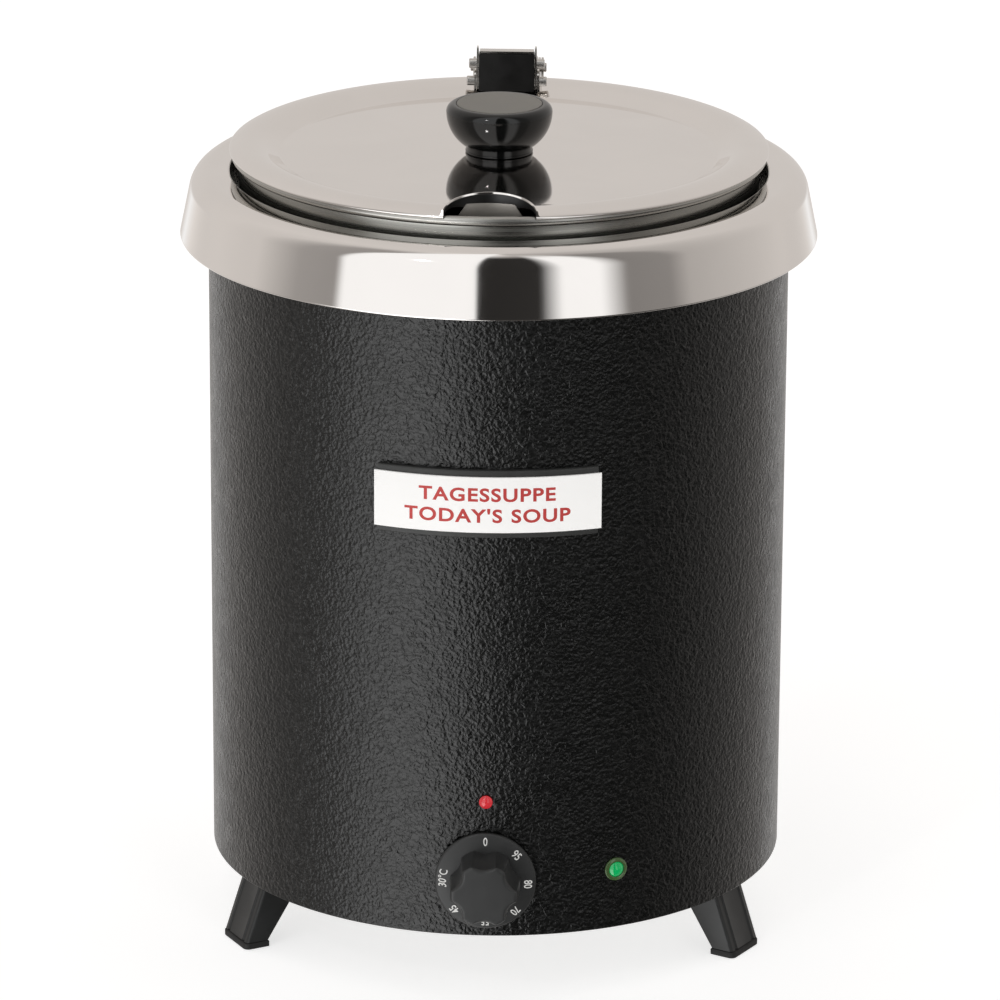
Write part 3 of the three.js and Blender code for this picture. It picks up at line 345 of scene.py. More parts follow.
def rim_steel_painted_shade():
    """Satin steel with painted shade: darker round the pot's neck and the collar's throat, where the lid
    shades them, less so on the bead.
    """
    s = Surface("rim_steel_painted_shade", metallic=1.0)
    lines = s.noise(900, 3, 0, s.around_axis())
    apart = s.tree.nodes.new("ShaderNodeSeparateXYZ")
    s.feed(s.place, apart.inputs[0])
    # The darkening with height is painted shade, standing in for the shade under the lid.
    uneven_height = s.math("ADD", apart.outputs["Z"], s.math("MULTIPLY", s.noise(40, 3), 0.012))
    shade_by_height = s.spread(uneven_height, 0.0, 1.0, *SHADE_STARTS_M)
    below_the_bead = s.spread(apart.outputs["Z"], 1.0, 0.65, *SHADE_FADES_M)
    painted_shade = s.math("MULTIPLY", shade_by_height, below_the_bead)
    s.set("Base Color", s.colours(painted_shade, [(0.0, (0.6, 0.58, 0.55)), (1.0, (0.33, 0.33, 0.31))]))
    s.set("Roughness", s.spread(lines, 0.2, 0.34))
    s.set("Normal", s.bump(lines, 0.004, 0.5))
    return s.material


def plated(name, colour, rough_low=0.25, rough_high=0.5):
    """Plated or cast metal with a fine even grain and dull patches."""
    s = Surface(name, metallic=1.0)
    patches = s.noise(120, 4, 0.5)
    s.set("Base Color", s.colours(patches, shades(colour, 0.82, 1.08)))
    s.set("Roughness", s.spread(patches, rough_low, rough_high))
    s.set("Normal", s.bump(s.noise(2200, 2), 0.01, 0.5))
    return s.material


def moulded(name, colour, rough_low, rough_high, grain=1800, depth=0.02, **sockets):
    """Moulded plastic or rubber: a fine grain, slightly duller and lighter where it is handled."""
    s = Surface(name, **sockets)
    handled = s.noise(70, 4, 0.5)
    s.set("Base Color", s.colours(handled, shades(colour, 0.88, 1.12)))
    s.set("Roughness", s.spread(handled, rough_low, rough_high))
    s.set("Normal", s.bump(s.noise(grain, 3), depth, 0.6))
    return s.material


def lens(name, colour, glow, glow_strength):
    """A translucent moulded lens with fine flow marks, lit softly from within."""
    s = Surface(name, Emission_Strength=glow_strength, Coat_Weight=0.6, Coat_Roughness=0.04)
    flow = s.noise(900, 3, 0.8)
    s.set("Base Color", s.colours(flow, shades(colour, 0.8, 1.15)))
    s.set("Roughness", s.spread(flow, 0.08, 0.2))
    s.set("Normal", s.bump(flow, 0.02, 0.4))
    s.shader.inputs["Emission Color"].default_value = (*glow, 1)
    return s.material


def wool():
    """Mineral wool, its fibres lying round the bath."""
    s = Surface("mineral_wool", roughness=0.95)
    fibres = s.noise(700, 6, 1.5, s.stretched(1, 1, 3))
    s.set("Base Color", s.colours(fibres, shades((0.6, 0.52, 0.3), 0.6, 1.2)))
    s.set("Normal", s.bump(fibres, 1.2, 0.8))
    return s.material


def ink(name, colour, **sockets):
    """Printed ink, slightly uneven."""
    s = Surface(name, **sockets)
    cover = s.noise(1200, 3)
    s.set("Base Color", s.colours(cover, shades(colour, 0.93, 1.05)))
    s.set("Roughness", s.spread(cover, 0.35, 0.5))
    s.set("Normal", s.bump(cover, 0.004, 0.4))
    return s.material


POWDER_COAT = powder_coat()
POLISHED = polished_steel()
SATIN = satin_steel("satin_steel", (0.62, 0.6, 0.575), 0.16, 0.3)
TAB_STEEL = satin_steel("tab_steel", (0.6, 0.57, 0.53), 0.4, 0.5)
BRIGHT = satin_steel("bright_steel", (0.72, 0.7, 0.67), 0.1, 0.22, 900)
RIM_STEEL_PAINTED_SHADE = rim_steel_painted_shade()
ZINC = plated("zinc_steel", (0.55, 0.55, 0.53))
SHEATH = plated("element_sheath", (0.2, 0.18, 0.16), 0.4, 0.6)
ALUMINIUM = plated("cast_aluminium", (0.62, 0.63, 0.64), 0.35, 0.5)
COPPER = plated("copper_bulb", (0.75, 0.38, 0.24), 0.2, 0.4)
LEG_PLASTIC = moulded("black_leg_plastic", (0.016, 0.017, 0.017), 0.36, 0.5)
RUBBER = moulded("foot_rubber", (0.014, 0.014, 0.014), 0.65, 0.8, 1200, 0.03)
GLOSS = moulded("gloss_black_plastic", (0.004, 0.0045, 0.0045), 0.06, 0.13, 500, 0.004)
BLOCK = moulded("black_block_plastic", (0.004, 0.004, 0.004), 0.28, 0.4, 1500, 0.01)
CAP = moulded("grey_cap_plastic", (0.215, 0.205, 0.185), 0.45, 0.6, 2400, 0.01)
DIAL = moulded("dial_plastic", (0.027, 0.028, 0.028), 0.38, 0.5, 2600, 0.012)
HOLDER = moulded("grey_holder_plastic", (0.03, 0.031, 0.03), 0.4, 0.55)
# The card's faint emission is a painted glow that keeps it white; the card is no lamp.
CARD_PAINTED_GLOW = ink("label_card", (0.93, 0.925, 0.91), Emission_Strength=0.11)
FITTING = moulded("moulded_black_plastic", (0.016, 0.016, 0.016), 0.4, 0.55)
TERMINAL = moulded("terminal_plastic", (0.68, 0.66, 0.6), 0.4, 0.55)
GREEN = lens("green_lens", (0.0, 0.3, 0.075), (0.0, 0.42, 0.12), 0.35)
GREEN_RIM = lens("green_lens_rim", (0.05, 0.09, 0.03), (0.06, 0.12, 0.03), 0.12)
RED = lens("red_lens", (0.55, 0.02, 0.03), (0.8, 0.05, 0.06), 0.25)
WOOL = wool()
RED_INK = ink("red_ink", (0.56, 0.045, 0.04))
WHITE_INK = ink("white_ink", (0.82, 0.82, 0.8))


# ---------------------------------------------------------------- casing and collar
casing_low, casing_high = in_mm("casing_shell")
CASING_R = casing_high.x
CASING_FLANGE = 9
HEM = 1.0


def casing():
    """A tube with a hem rolled inwards at the foot and a flange turned inwards at the top."""
    inside = CASING_R - SHEET
    flange = CASING_R - CASING_FLANGE
    outline = rounded(
        [
            *arc(CASING_R - HEM, casing_low.z + HEM, HEM, 0, -180, 8),
            (CASING_R - 2 * HEM, casing_low.z + 5),
            (inside, casing_low.z + 6),
            (inside, casing_high.z - SHEET),
            (flange, casing_high.z - SHEET),
            (flange, casing_high.z),
            (CASING_R, casing_high.z, 0.8),
        ]
    )
    return turned("casing_skin", outline)


wear(casing(), "housing", POWDER_COAT, ["casing_shell"])

collar_low, collar_high = in_mm("collar_ring")
COLLAR_TAPER = 11.2  # degrees that the skirt leans in
POT_SHOULDER_Z = 391.6
COLLAR_SHOULDER = 11.5
COLLAR_OPENING = 140.6
COLLAR_LIP = 1.2
COLLAR_FOOT = 138.3
COLLAR_HEM = 0.8
FUNNEL_Z = 394


def collar():
    """The tapered skirt, the round shoulder, the lip and the funnel that the pot hangs in."""
    shoulder_z = collar_high.z - COLLAR_SHOULDER
    skirt_at_shoulder = collar_high.x - (shoulder_z - collar_low.z) * math.tan(math.radians(COLLAR_TAPER))
    shoulder_r = skirt_at_shoulder - COLLAR_SHOULDER / math.cos(math.radians(COLLAR_TAPER))
    lip_r = COLLAR_OPENING + COLLAR_LIP
    lip_z = collar_high.z - COLLAR_LIP
    outline = [
        (collar_high.x - 2 * COLLAR_HEM, collar_low.z + 0.2),
        *arc(collar_high.x - COLLAR_HEM, collar_low.z + COLLAR_HEM, COLLAR_HEM, -90, COLLAR_TAPER, 6),
        *arc(shoulder_r, shoulder_z, COLLAR_SHOULDER, COLLAR_TAPER, 90, 20),
        *arc(lip_r, lip_z, COLLAR_LIP, 90, 180, 8),
        (COLLAR_FOOT, FUNNEL_Z),
        (COLLAR_FOOT, POT_SHOULDER_Z),
        (COLLAR_FOOT + SHEET, POT_SHOULDER_Z),
        (COLLAR_FOOT + SHEET, FUNNEL_Z),
        *arc(lip_r, lip_z, COLLAR_LIP - SHEET, 180, 90, 6),
        *arc(shoulder_r, shoulder_z, COLLAR_SHOULDER - SHEET, 90, COLLAR_TAPER, 14),
        (collar_high.x - 2 * COLLAR_HEM, collar_low.z + 3),
    ]
    return turned("collar_skin", outline)


ring = wear(collar(), "housing", POLISHED, ["collar_ring"])
ring.data.materials.append(RIM_STEEL_PAINTED_SHADE)  # for the faces inside the opening, which carry painted shade
for face in ring.data.polygons:
    if Vector(face.center[:2]).length < (COLLAR_OPENING + 0.3) * MM:
        face.material_index = 1


# ---------------------------------------------------------------- water bath and pot
bath_low, bath_high = in_mm("water_bath")
BATH_R = 133
BATH_CORNER = 12
BATH_RIM = 1.5


def water_bath():
    """The well that holds the hot water, with round corners and a flange that hangs on the casing."""
    outer = BATH_R + SHEET
    floor = bath_low.z
    outline = [
        (0, floor),
        *arc(outer - BATH_CORNER, floor + BATH_CORNER, BATH_CORNER, -90, 0, 10),
        (outer, bath_high.z - SHEET),
        (bath_high.x, bath_high.z - SHEET),
        (bath_high.x, bath_high.z),
        *arc(BATH_R + BATH_RIM, bath_high.z - BATH_RIM, BATH_RIM, 90, 180, 4),
        *arc(outer - BATH_CORNER, floor + BATH_CORNER, BATH_CORNER - SHEET, 0, -90, 10),
        (0, floor + SHEET),
    ]
    return turned("water_bath_skin", outline)


wear(water_bath(), "housing", SATIN, ["water_bath"])

pot_low, pot_high = in_mm("inner_pot")
POT_R = 126
POT_CORNER = 14
NECK_R = 135
BEAD_R = 2.6


def inner_pot():
    """The pot: a round-cornered floor, a wall, a shoulder to a wider neck, and a rolled bead."""
    outer = POT_R + SHEET
    floor = pot_low.z
    bead_r = NECK_R + BEAD_R
    bead_z = pot_high.z - BEAD_R
    outline = rounded(
        [
            (0, floor),
            *arc(outer - POT_CORNER, floor + POT_CORNER, POT_CORNER, -90, 0, 10),
            (outer, POT_SHOULDER_Z, 0.8),
            (NECK_R + SHEET, POT_SHOULDER_Z, 1.5),
            *arc(bead_r, bead_z, BEAD_R, -128, 180, 22),
            (NECK_R, POT_SHOULDER_Z + SHEET, 1.2),
            (POT_R, POT_SHOULDER_Z + SHEET, 1.2),
            *arc(outer - POT_CORNER, floor + POT_CORNER, POT_CORNER - SHEET, 0, -90, 10),
            (0, floor + SHEET),
        ]
    )
    return turned("inner_pot_skin", outline)


# The pot's steel carries painted shade round its neck and bead.
wear(inner_pot(), "pot", RIM_STEEL_PAINTED_SHADE, ["inner_pot"])


# ---------------------------------------------------------------- lid
LID_SHEET = 0.8
LID_EDGE_R = in_mm("lid_disc")[1].x
LID_EDGE_ROUND = 0.6
LID_EDGE_DROP = 3.8
PANEL_R = 114.6
PANEL_Z = 416
CROWN_R = 130.6
CROWN_Z = 422.3
BRIM_CURVE = 18
BRIM_START = 120  # degrees on the brim's curve, counted from outwards
BRIM_END = 57
NOTCH_X = 23.5  # half axes of the ladle notch
NOTCH_Y = 16
NOTCH_CENTRE = -140
LIP_WIDTH = 2.2
LIP_RISE = 6.2
LIP_LOW_Z = 421.8
TAB_HEIGHT = 8
TAB_FLAT = 12.5  # half the width of the tab's level top
TAB_SLOPE = 1.4


def lid_sheet():
    """A level panel and a round brim, with the ladle notch cut out at the front."""
    centre_z = CROWN_Z - BRIM_CURVE
    outline = rounded(
        [
            (SCREW_BORE_R, PANEL_Z),
            (PANEL_R, PANEL_Z, 3),
            *arc(CROWN_R, centre_z, BRIM_CURVE, BRIM_START, BRIM_END, 22),
            *arc(LID_EDGE_R - LID_EDGE_ROUND, CROWN_Z - LID_EDGE_DROP, LID_EDGE_ROUND, 40, -110, 6),
            *arc(CROWN_R, centre_z, BRIM_CURVE - LID_SHEET, BRIM_END, BRIM_START, 22),
            (PANEL_R + 0.5, PANEL_Z - LID_SHEET, 3),
            (SCREW_BORE_R, PANEL_Z - LID_SHEET),
        ]
    )
    sheet = turned("lid_skin", outline, 2 * FINE)
    front = NOTCH_CENTRE - 8
    curve = [(x * NOTCH_X, NOTCH_CENTRE + y * NOTCH_Y) for x, y in arc(0, 0, 1, 0, 180, 48)]
    notch = [(NOTCH_X, front), *curve, (-NOTCH_X, front)]
    cutter = loft("notch_cutter", [[(x, y, z) for x, y in notch] for z in (PANEL_Z - 12, PANEL_Z + 28)])
    return without(sheet, cutter)


def lid_height(radius):
    """The height of the lid's upper surface on the brim."""
    return CROWN_Z - BRIM_CURVE + math.sqrt(max(0, BRIM_CURVE**2 - (radius - CROWN_R) ** 2))


def along_notch(name, profile_at, reach=NOTCH_X):
    """A strip along the notch's edge, as far to the sides as reach.

    profile_at gives its (outward, height) points from the lip's top, the sheet's height and the distance
    from the middle.
    """
    sections = []
    steps = 96
    for i in range(steps + 1):
        t = math.pi * i / steps
        inner = Vector((NOTCH_X * math.cos(t), NOTCH_CENTRE + NOTCH_Y * math.sin(t)))
        if inner.length > LID_EDGE_R - 0.5 or abs(inner.x) > reach:
            continue
        outward = Vector((math.cos(t) / NOTCH_X, math.sin(t) / NOTCH_Y)).normalized()
        top = LIP_LOW_Z + LIP_RISE * math.sin(t)
        sheet_z = lid_height((inner + outward * LIP_WIDTH).length)
        sections.append([(*(inner + outward * d), z) for d, z in profile_at(top, sheet_z, abs(inner.x))])
    return loft(name, sections)


def notch_lip():
    """The turned-up rim of the ladle notch, which leaves the sheet in a hollow curve."""

    def profile(top, sheet_z, _across):
        rise = top - sheet_z
        return [
            (0.02, sheet_z - LID_SHEET),
            (0.02, top - 0.25),
            (0.15, top - 0.06),
            (0.4, top),
            (0.65, top - 0.08),
            (0.8, top - 0.3),
            (0.95, sheet_z + 0.62 * rise),
            (1.2, sheet_z + 0.32 * rise),
            (1.6, sheet_z + 0.12 * rise),
            (LIP_WIDTH - 0.05, sheet_z - 0.02),
            (LIP_WIDTH - 0.05, sheet_z - LID_SHEET),
        ]

    return along_notch("notch_lip", profile)


def notch_painted_shadow():
    """A black strip of painted shadow on the lip's inner side, just below its bright edge, where only shade
    shows.
    """

    def profile(top, sheet_z, _across):
        high = top - 0.9
        low = min(high - 0.5, sheet_z - LID_SHEET)
        return [(-0.25, low), (-0.25, high - 0.2), (0.04, high), (0.04, low)]

    return along_notch("notch_painted_shadow", profile)


def notch_tab():
    """The pale plate with sloping ends that closes the lower part of the notch's rear."""

    def profile(_top, _sheet_z, across):
        low = LIP_LOW_Z - TAB_HEIGHT
        high = LIP_LOW_Z + 0.6 - TAB_SLOPE * max(0, across - TAB_FLAT)
        return [(-0.8, low), (-0.8, high), (-0.3, high), (-0.3, low)]

    return along_notch("notch_tab", profile, TAB_FLAT + TAB_HEIGHT / TAB_SLOPE)


wear(lid_sheet(), "lid", POLISHED, ["lid_disc"])
wear(notch_lip(), "lid", POLISHED)
# A black strip of painted shadow inside the notch's lip.
wear(notch_painted_shadow(), "lid", BLOCK)
wear(notch_tab(), "lid", TAB_STEEL)


# ---------------------------------------------------------------- lid knob
knob_low, knob_high = in_mm("lid_knob")
KNOB_NECK_R = 17.7
KNOB_R = knob_high.x
KNOB_WIDEST_Z = 437.7
KNOB_CAP_R = 22.3
KNOB_CURVE = 21.5
KNOB_BORE_Z = 433
KNOB_RIM = 4.3
KNOB_RECESS = 1.4


def knob():
    """The mushroom knob, from a stepped neck out to its widest ring and over to the recess for the cap."""
    base = knob_low.z
    top = knob_high.z
    upper_neck = KNOB_NECK_R - 0.3
    recess_r = KNOB_CAP_R + 0.3
    outline = rounded(
        [
            (SCREW_BORE_R, base),
            (KNOB_NECK_R, base, 0.4),
            (KNOB_NECK_R, base + 1, 0.2),
            (upper_neck, base + 1.2, 0.2),
            (upper_neck, base + 4.1),
            *arc(KNOB_R - KNOB_CURVE, KNOB_WIDEST_Z, KNOB_CURVE, -53, 0, 22),
            *arc(KNOB_R - KNOB_RIM, top - KNOB_RIM, KNOB_RIM, 0, 84, 12),
            (recess_r, top, 0.3),
            (recess_r, top - KNOB_RECESS),
            (0, top - KNOB_RECESS),
            (0, KNOB_BORE_Z),
            (SCREW_BORE_R, KNOB_BORE_Z),
        ]
    )
    return turned("knob_body", outline, MEDIUM)


def knob_disc():
    low, high = in_mm("knob_cap")
    outline = rounded([(0, low.z), (KNOB_CAP_R, low.z), (KNOB_CAP_R, high.z, 0.5), (0, high.z)])
    return turned("knob_cap_disc", outline, MEDIUM)


wear(knob(), "lid", GLOSS, ["lid_knob"])
wear(knob_disc(), "lid", CAP, ["knob_cap"])


# ---------------------------------------------------------------- round hardware
PIN_CHAMFER = 0.5


def cross_pin(name, node):
    """A smooth pin along X that fills the box of a faceted CAD pin."""
    low, high = in_mm(node)
    half = (high - low) / 2
    ends = ((half.y, -half.x, PIN_CHAMFER), (half.y, half.x, PIN_CHAMFER))
    outline = rounded([(0, -half.x), *ends, (0, half.x)], 4)
    turn = Matrix.Translation((low + high) / 2) @ Matrix.Rotation(math.pi / 2, 4, "Y")
    return turned(name, outline, SMALL, turn)


for node, body in (("upper_block_pin", "lid"), ("lower_block_pin", "lid"), ("hinge_pin", "pot")):
    wear(cross_pin(node + "_round", node), body, SATIN, [node])


def pan_screw(name, node, shank, head):
    """A screw with its domed head down, on a shank of the given radius under a head of the given height."""
    low, high = in_mm(node)
    middle = (low + high) / 2
    radius = (high.x - low.x) / 2
    outline = rounded(
        [
            (0, low.z),
            (radius * 0.75, low.z, 0.6),
            (radius, low.z + 0.9, 0.3),
            (radius, low.z + head),
            (shank, low.z + head),
            (shank, high.z, 0.3),
            (0, high.z),
        ],
        4,
    )
    return turned(name, outline, SMALL, Matrix.Translation((middle.x, middle.y, 0)))


wear(pan_screw("knob_screw_round", "knob_screw", 2.5, 2.9), "lid", ZINC, ["knob_screw"])
for side in ("left", "right"):
    node = f"block_screw_{side}"
    wear(pan_screw(node + "_round", node, 1.7, 2.0), "lid", ZINC, [node])
wear(pan_screw("earth_screw_round", "earth_screw", 2.5, 2.6), "housing", ZINC, ["earth_screw"])


# ---------------------------------------------------------------- dial
dial_low, dial_high = in_mm("dial_knob")
DIAL_Z = (dial_low.z + dial_high.z) / 2
DIAL_BACK = dial_high.y
DIAL_DEPTH = dial_high.y - dial_low.y
DIAL_R = dial_high.x
SHAFT_BORE_R = 3.3
FACE_OUTER = (25.4, 2.6)  # radius and height of the sloping ring that bears the numerals
FACE_INNER = (19.0, 4.3)
RECESS_R = 22.5
RECESS_DEPTH = 2.2
GRIP_R = 18.4
GRIP_TIP_R = 17.2
GRIP_EDGE = 1.5
GRIP_DOME = 0.5
GRIP_SEGMENTS = 240
FLUTES = 6
FLUTE_R = 7.9
FLUTE_CENTRE = 23.7  # distance of a flute's axis from the shaft
FLUTE_LEAN = 0.1
FLUTE_SOFTNESS = 1.25
# From a dial made along Z, standing on its back, to its place on the casing's front.
TO_FRONT = Matrix.Translation((0, DIAL_BACK, DIAL_Z)) @ Matrix.Rotation(math.pi / 2, 4, "X")


def dial_skirt():
    """The dial's flat skirt, hollow behind and with a sloping face."""
    outline = rounded(
        [
            (SHAFT_BORE_R, RECESS_DEPTH),
            (RECESS_R, RECESS_DEPTH),
            (RECESS_R, 0),
            (DIAL_R, 0, 0.5),
            (DIAL_R, 1.9, 0.5),
            (*FACE_OUTER, 0.4),
            FACE_INNER,
            (SHAFT_BORE_R, FACE_INNER[1]),
        ]
    )
    return turned("dial_skirt", outline, MEDIUM, TO_FRONT)


def grip_radius(angle, height, shrink):
    """The grip's radius at an angle and a height above the skirt, with the flutes cut into its cone."""
    cone = GRIP_R + (GRIP_TIP_R - GRIP_R) * height / (DIAL_DEPTH - FACE_INNER[1])
    radius = cone
    pitch = 2 * math.pi / FLUTES
    off = (angle - math.pi / 2 + pitch / 2) % pitch - pitch / 2
    centre = FLUTE_CENTRE - FLUTE_LEAN * height
    reach = FLUTE_R**2 - (centre * math.sin(off)) ** 2
    if reach > 0:
        fluted = centre * math.cos(off) - math.sqrt(reach)
        soft = math.exp(-cone / FLUTE_SOFTNESS) + math.exp(-fluted / FLUTE_SOFTNESS)
        radius = min(cone, 0.35 - FLUTE_SOFTNESS * math.log(soft))
    return radius - shrink


def dial_grip():
    """The fluted grip, with a soft edge round its slightly domed front."""
    tip = DIAL_DEPTH - FACE_INNER[1]
    levels = [(tip * share, 0) for share in (0, 0.3, 0.6, 0.85)]
    for i in range(7):
        angle = math.radians(15 * i)
        levels.append((tip - GRIP_EDGE + GRIP_EDGE * math.sin(angle), GRIP_EDGE * (1 - math.cos(angle))))
    levels += [(tip, GRIP_EDGE + step) for step in (1, 3, 6, 9)]
    sections = []
    for height, shrink in levels:
        ring = []
        for i in range(GRIP_SEGMENTS):
            angle = 2 * math.pi * i / GRIP_SEGMENTS
            radius = grip_radius(angle, height, shrink)
            sag = GRIP_DOME * (radius / GRIP_R) ** 2 if shrink else 0
            up = height + FACE_INNER[1] - 0.05 - sag
            spot = Vector((radius * math.cos(angle), radius * math.sin(angle), up))
            ring.append(TO_FRONT @ spot)
        sections.append(ring)
    return loft("dial_grip", sections, 50)


wear(dial_skirt(), "dial", DIAL, ["dial_knob"])
wear(dial_grip(), "dial", DIAL)


# ---------------------------------------------------------------- lettering
INK_DEPTH = 0.03
INK_CLEARANCE = 0.02


def lettering(name, text, height, place, bold, wide, spacing, measure):
    """Thin letters, whose flat points (across, up, out) in millimetres go where place() says.

    height is that of the letter to measure, and wide stretches the letters across.
    """
    curve = bpy.data.curves.new(name, "FONT")
    curve.body = measure
    curve.align_x = "CENTER"
    curve.size = 1
    curve.extrude = 0.001
    curve.offset = bold
    curve.space_character = spacing
    curve.resolution_u = 5
    holder = bpy.data.objects.new(name + "_type", curve)
    scene.collection.objects.link(holder)
    bpy.context.view_layer.update()
    tall = max(corner[1] for corner in holder.bound_box)
    curve.body = text
    bpy.context.view_layer.update()
    mesh = bpy.data.meshes.new_from_object(holder.evaluated_get(bpy.context.evaluated_depsgraph_get()))
    bpy.data.objects.remove(holder)
    scale = height / tall
    for vertex in mesh.vertices:
        across, up, out = vertex.co
        vertex.co = place(across * scale * wide, up * scale - height / 2, INK_DEPTH if out > 0 else 0) * MM
    piece = bpy.data.objects.new(name, mesh)
    scene.collection.objects.link(piece)
    return piece


NUMERAL_R = 22.3
NUMERAL_HEIGHT = 4.1


def on_dial(clockwise):
    """Places letters on the skirt's sloping face, tops outward, at an angle clockwise from the top."""

    def place(across, up, out):
        radius = NUMERAL_R + up
        angle = math.radians(clockwise) + across / radius
        slope = (FACE_INNER[1] - FACE_OUTER[1]) / (FACE_OUTER[0] - FACE_INNER[0])
        height = FACE_OUTER[1] + (FACE_OUTER[0] - radius) * slope + INK_CLEARANCE + out
        return Vector((radius * math.sin(angle), DIAL_BACK - height, DIAL_Z + radius * math.cos(angle)))

    return place


# Each numeral and its angle, in degrees clockwise from the top.
DIAL_MARKS = {"0": 0, "95": 47, "80": 92, "70": 135, "55": 180, "45": 226, "30°C": 275}
for mark, clockwise in DIAL_MARKS.items():
    letters = "".join(c for c in mark if c.isalnum())
    piece = lettering(f"dial_mark_{letters}", mark, NUMERAL_HEIGHT, on_dial(clockwise), 0.012, 0.8, 1.0, "0")
    wear(piece, "dial", WHITE_INK)


# ---------------------------------------------------------------- label
def curved_panel(name, node, arc_degrees, depth, edge):
    """A strip of a cylinder's wall centred on the front, with softened edges."""
    low, high = in_mm(node)
    outer = -low.y
    inner = outer - depth
    outline = rounded([(inner, low.z), (inner, high.z), (outer, high.z, edge), (outer, low.z, edge)], 4)
    steps = 72
    sections = []
    for i in range(steps + 1):
        angle = math.radians(arc_degrees * (i / steps - 0.5))
        sections.append([(r * math.sin(angle), -r * math.cos(angle), z) for r, z in outline])
    return loft(name, sections)


label_holder = curved_panel("label_holder_strip", "label_holder", 42.4, 2.5, 1.0)
wear(label_holder, "housing", HOLDER, ["label_holder"])
label_plate = curved_panel("label_plate_card", "label_plate", 43.4, 1.0, 0.25)
# The label card wears a painted glow.
wear(label_plate, "housing", CARD_PAINTED_GLOW, ["label_plate"])

plate_low, plate_high = in_mm("label_plate")
LABEL_R = -plate_low.y
LABEL_Z = (plate_low.z + plate_high.z) / 2


def on_label(centre_z):
    """Places letters on the curved label, in a line at a height."""

    def place(across, up, out):
        radius = LABEL_R + INK_CLEARANCE + out
        angle = across / LABEL_R
        return Vector((radius * math.sin(angle), -radius * math.cos(angle), centre_z + up))

    return place


LETTER_HEIGHT = 6.9
LINE_GAP = 11.2
for name, text, line in (("label_line_upper", "TAGESSUPPE", 0.5), ("label_line_lower", "TODAY'S SOUP", -0.5)):
    piece = lettering(name, text, LETTER_HEIGHT, on_label(LABEL_Z + line * LINE_GAP), 0.026, 1.16, 1.12, "E")
    wear(piece, "housing", RED_INK)


# ---------------------------------------------------------------- lamps
def facing_out(azimuth_degrees, z):
    """Turns a piece made along Z so that Z points out of the casing's front, azimuth towards +X."""
    spin = Matrix.Rotation(math.radians(azimuth_degrees), 4, "Z")
    return Matrix.Translation((0, 0, z)) @ spin @ Matrix.Rotation(math.pi / 2, 4, "X")


PILOT_AZIMUTH = 26
LENS_BACK = CASING_R + 0.45
DOME_SINK = 1.6  # how far a lens dome's centre lies behind the lens's back
green_low, green_high = in_mm("pilot_lamp_lens")
red_low, red_high = in_mm("heat_lamp_lens")
PILOT_Z = (green_low.z + green_high.z) / 2
HEAT_Z = (red_low.z + red_high.z) / 2


def pilot_rim():
    """The ring round the green lens."""
    outline = rounded(
        [
            (4.2, LENS_BACK),
            (6.2, LENS_BACK, 0.2),
            (6.2, LENS_BACK + 1.1, 0.5),
            (5.0, LENS_BACK + 1.6, 0.4),
            (4.2, LENS_BACK + 1.4),
        ]
    )
    return turned("pilot_lamp_rim", outline, MEDIUM, facing_out(PILOT_AZIMUTH, PILOT_Z))


def pilot_dome():
    """The green lens inside its ring."""
    dome = arc(0, LENS_BACK - DOME_SINK, 4.8, 30, 90, 10)
    outline = [(0, LENS_BACK), (4.15, LENS_BACK), *dome]
    return turned("pilot_lamp_dome", outline, MEDIUM, facing_out(PILOT_AZIMUTH, PILOT_Z))


def heat_dome():
    """The small red lens above the dial."""
    dome = arc(0, LENS_BACK - DOME_SINK, 4.13, 33, 90, 10)
    outline = [(0, LENS_BACK), (3.5, LENS_BACK), (3.5, LENS_BACK + 0.6), *dome]
    return turned("heat_lamp_dome", outline, MEDIUM, facing_out(0, HEAT_Z))


wear(pilot_rim(), "housing", GREEN_RIM, ["pilot_lamp_lens"])
wear(pilot_dome(), "housing", GREEN)
wear(heat_dome(), "housing", RED, ["heat_lamp_lens"])


# ---------------------------------------------------------------- legs
LEG_TURNS = {"right": -30, "rear": 90, "left": 210}
LEG_HALF = 13.6
LEG_TOP = (122, 144.7, 36)  # inner radius, outer radius and height
LEG_FOOT = (143.4, 156.2, 3.8)
LEG_STEPS = 8
GROOVE_R = 1.4
GROOVE_AT = 8.6  # distance of a groove from the leg's middle
PAD_INNER = 143.2
PAD_OUTER = 157.2
PAD_HALF = 13.8
PAD_HEIGHT = 3.5
PAD_EDGE = 0.5


def leg_section(inner, outer, z):
    """A section of the leg: a flat inner side, and outside a panel between two grooves and two beads."""
    groove = arc(outer + 0.5, GROOVE_AT, GROOVE_R, 110, 250, 10)
    half = rounded([(inner, 0), (inner, LEG_HALF, 1), (outer, LEG_HALF, 2), (outer, GROOVE_AT + GROOVE_R)])
    half = [*half[1:], *groove, (outer, GROOVE_AT - GROOVE_R)]
    return [(x, y, z) for x, y in half] + [(x, -y, z) for x, y in reversed(half)]


def leg(side, degrees):
    """A leg that leans outwards and narrows towards its foot."""
    spin = Matrix.Rotation(math.radians(degrees), 4, "Z")
    sections = []
    for i in range(LEG_STEPS + 1):
        share = i / LEG_STEPS
        inner, outer, z = (a + (b - a) * share for a, b in zip(LEG_TOP, LEG_FOOT))
        sections.append([spin @ Vector(point) for point in leg_section(inner, outer, z)])
    return loft(f"leg_{side}_moulding", sections, 30)


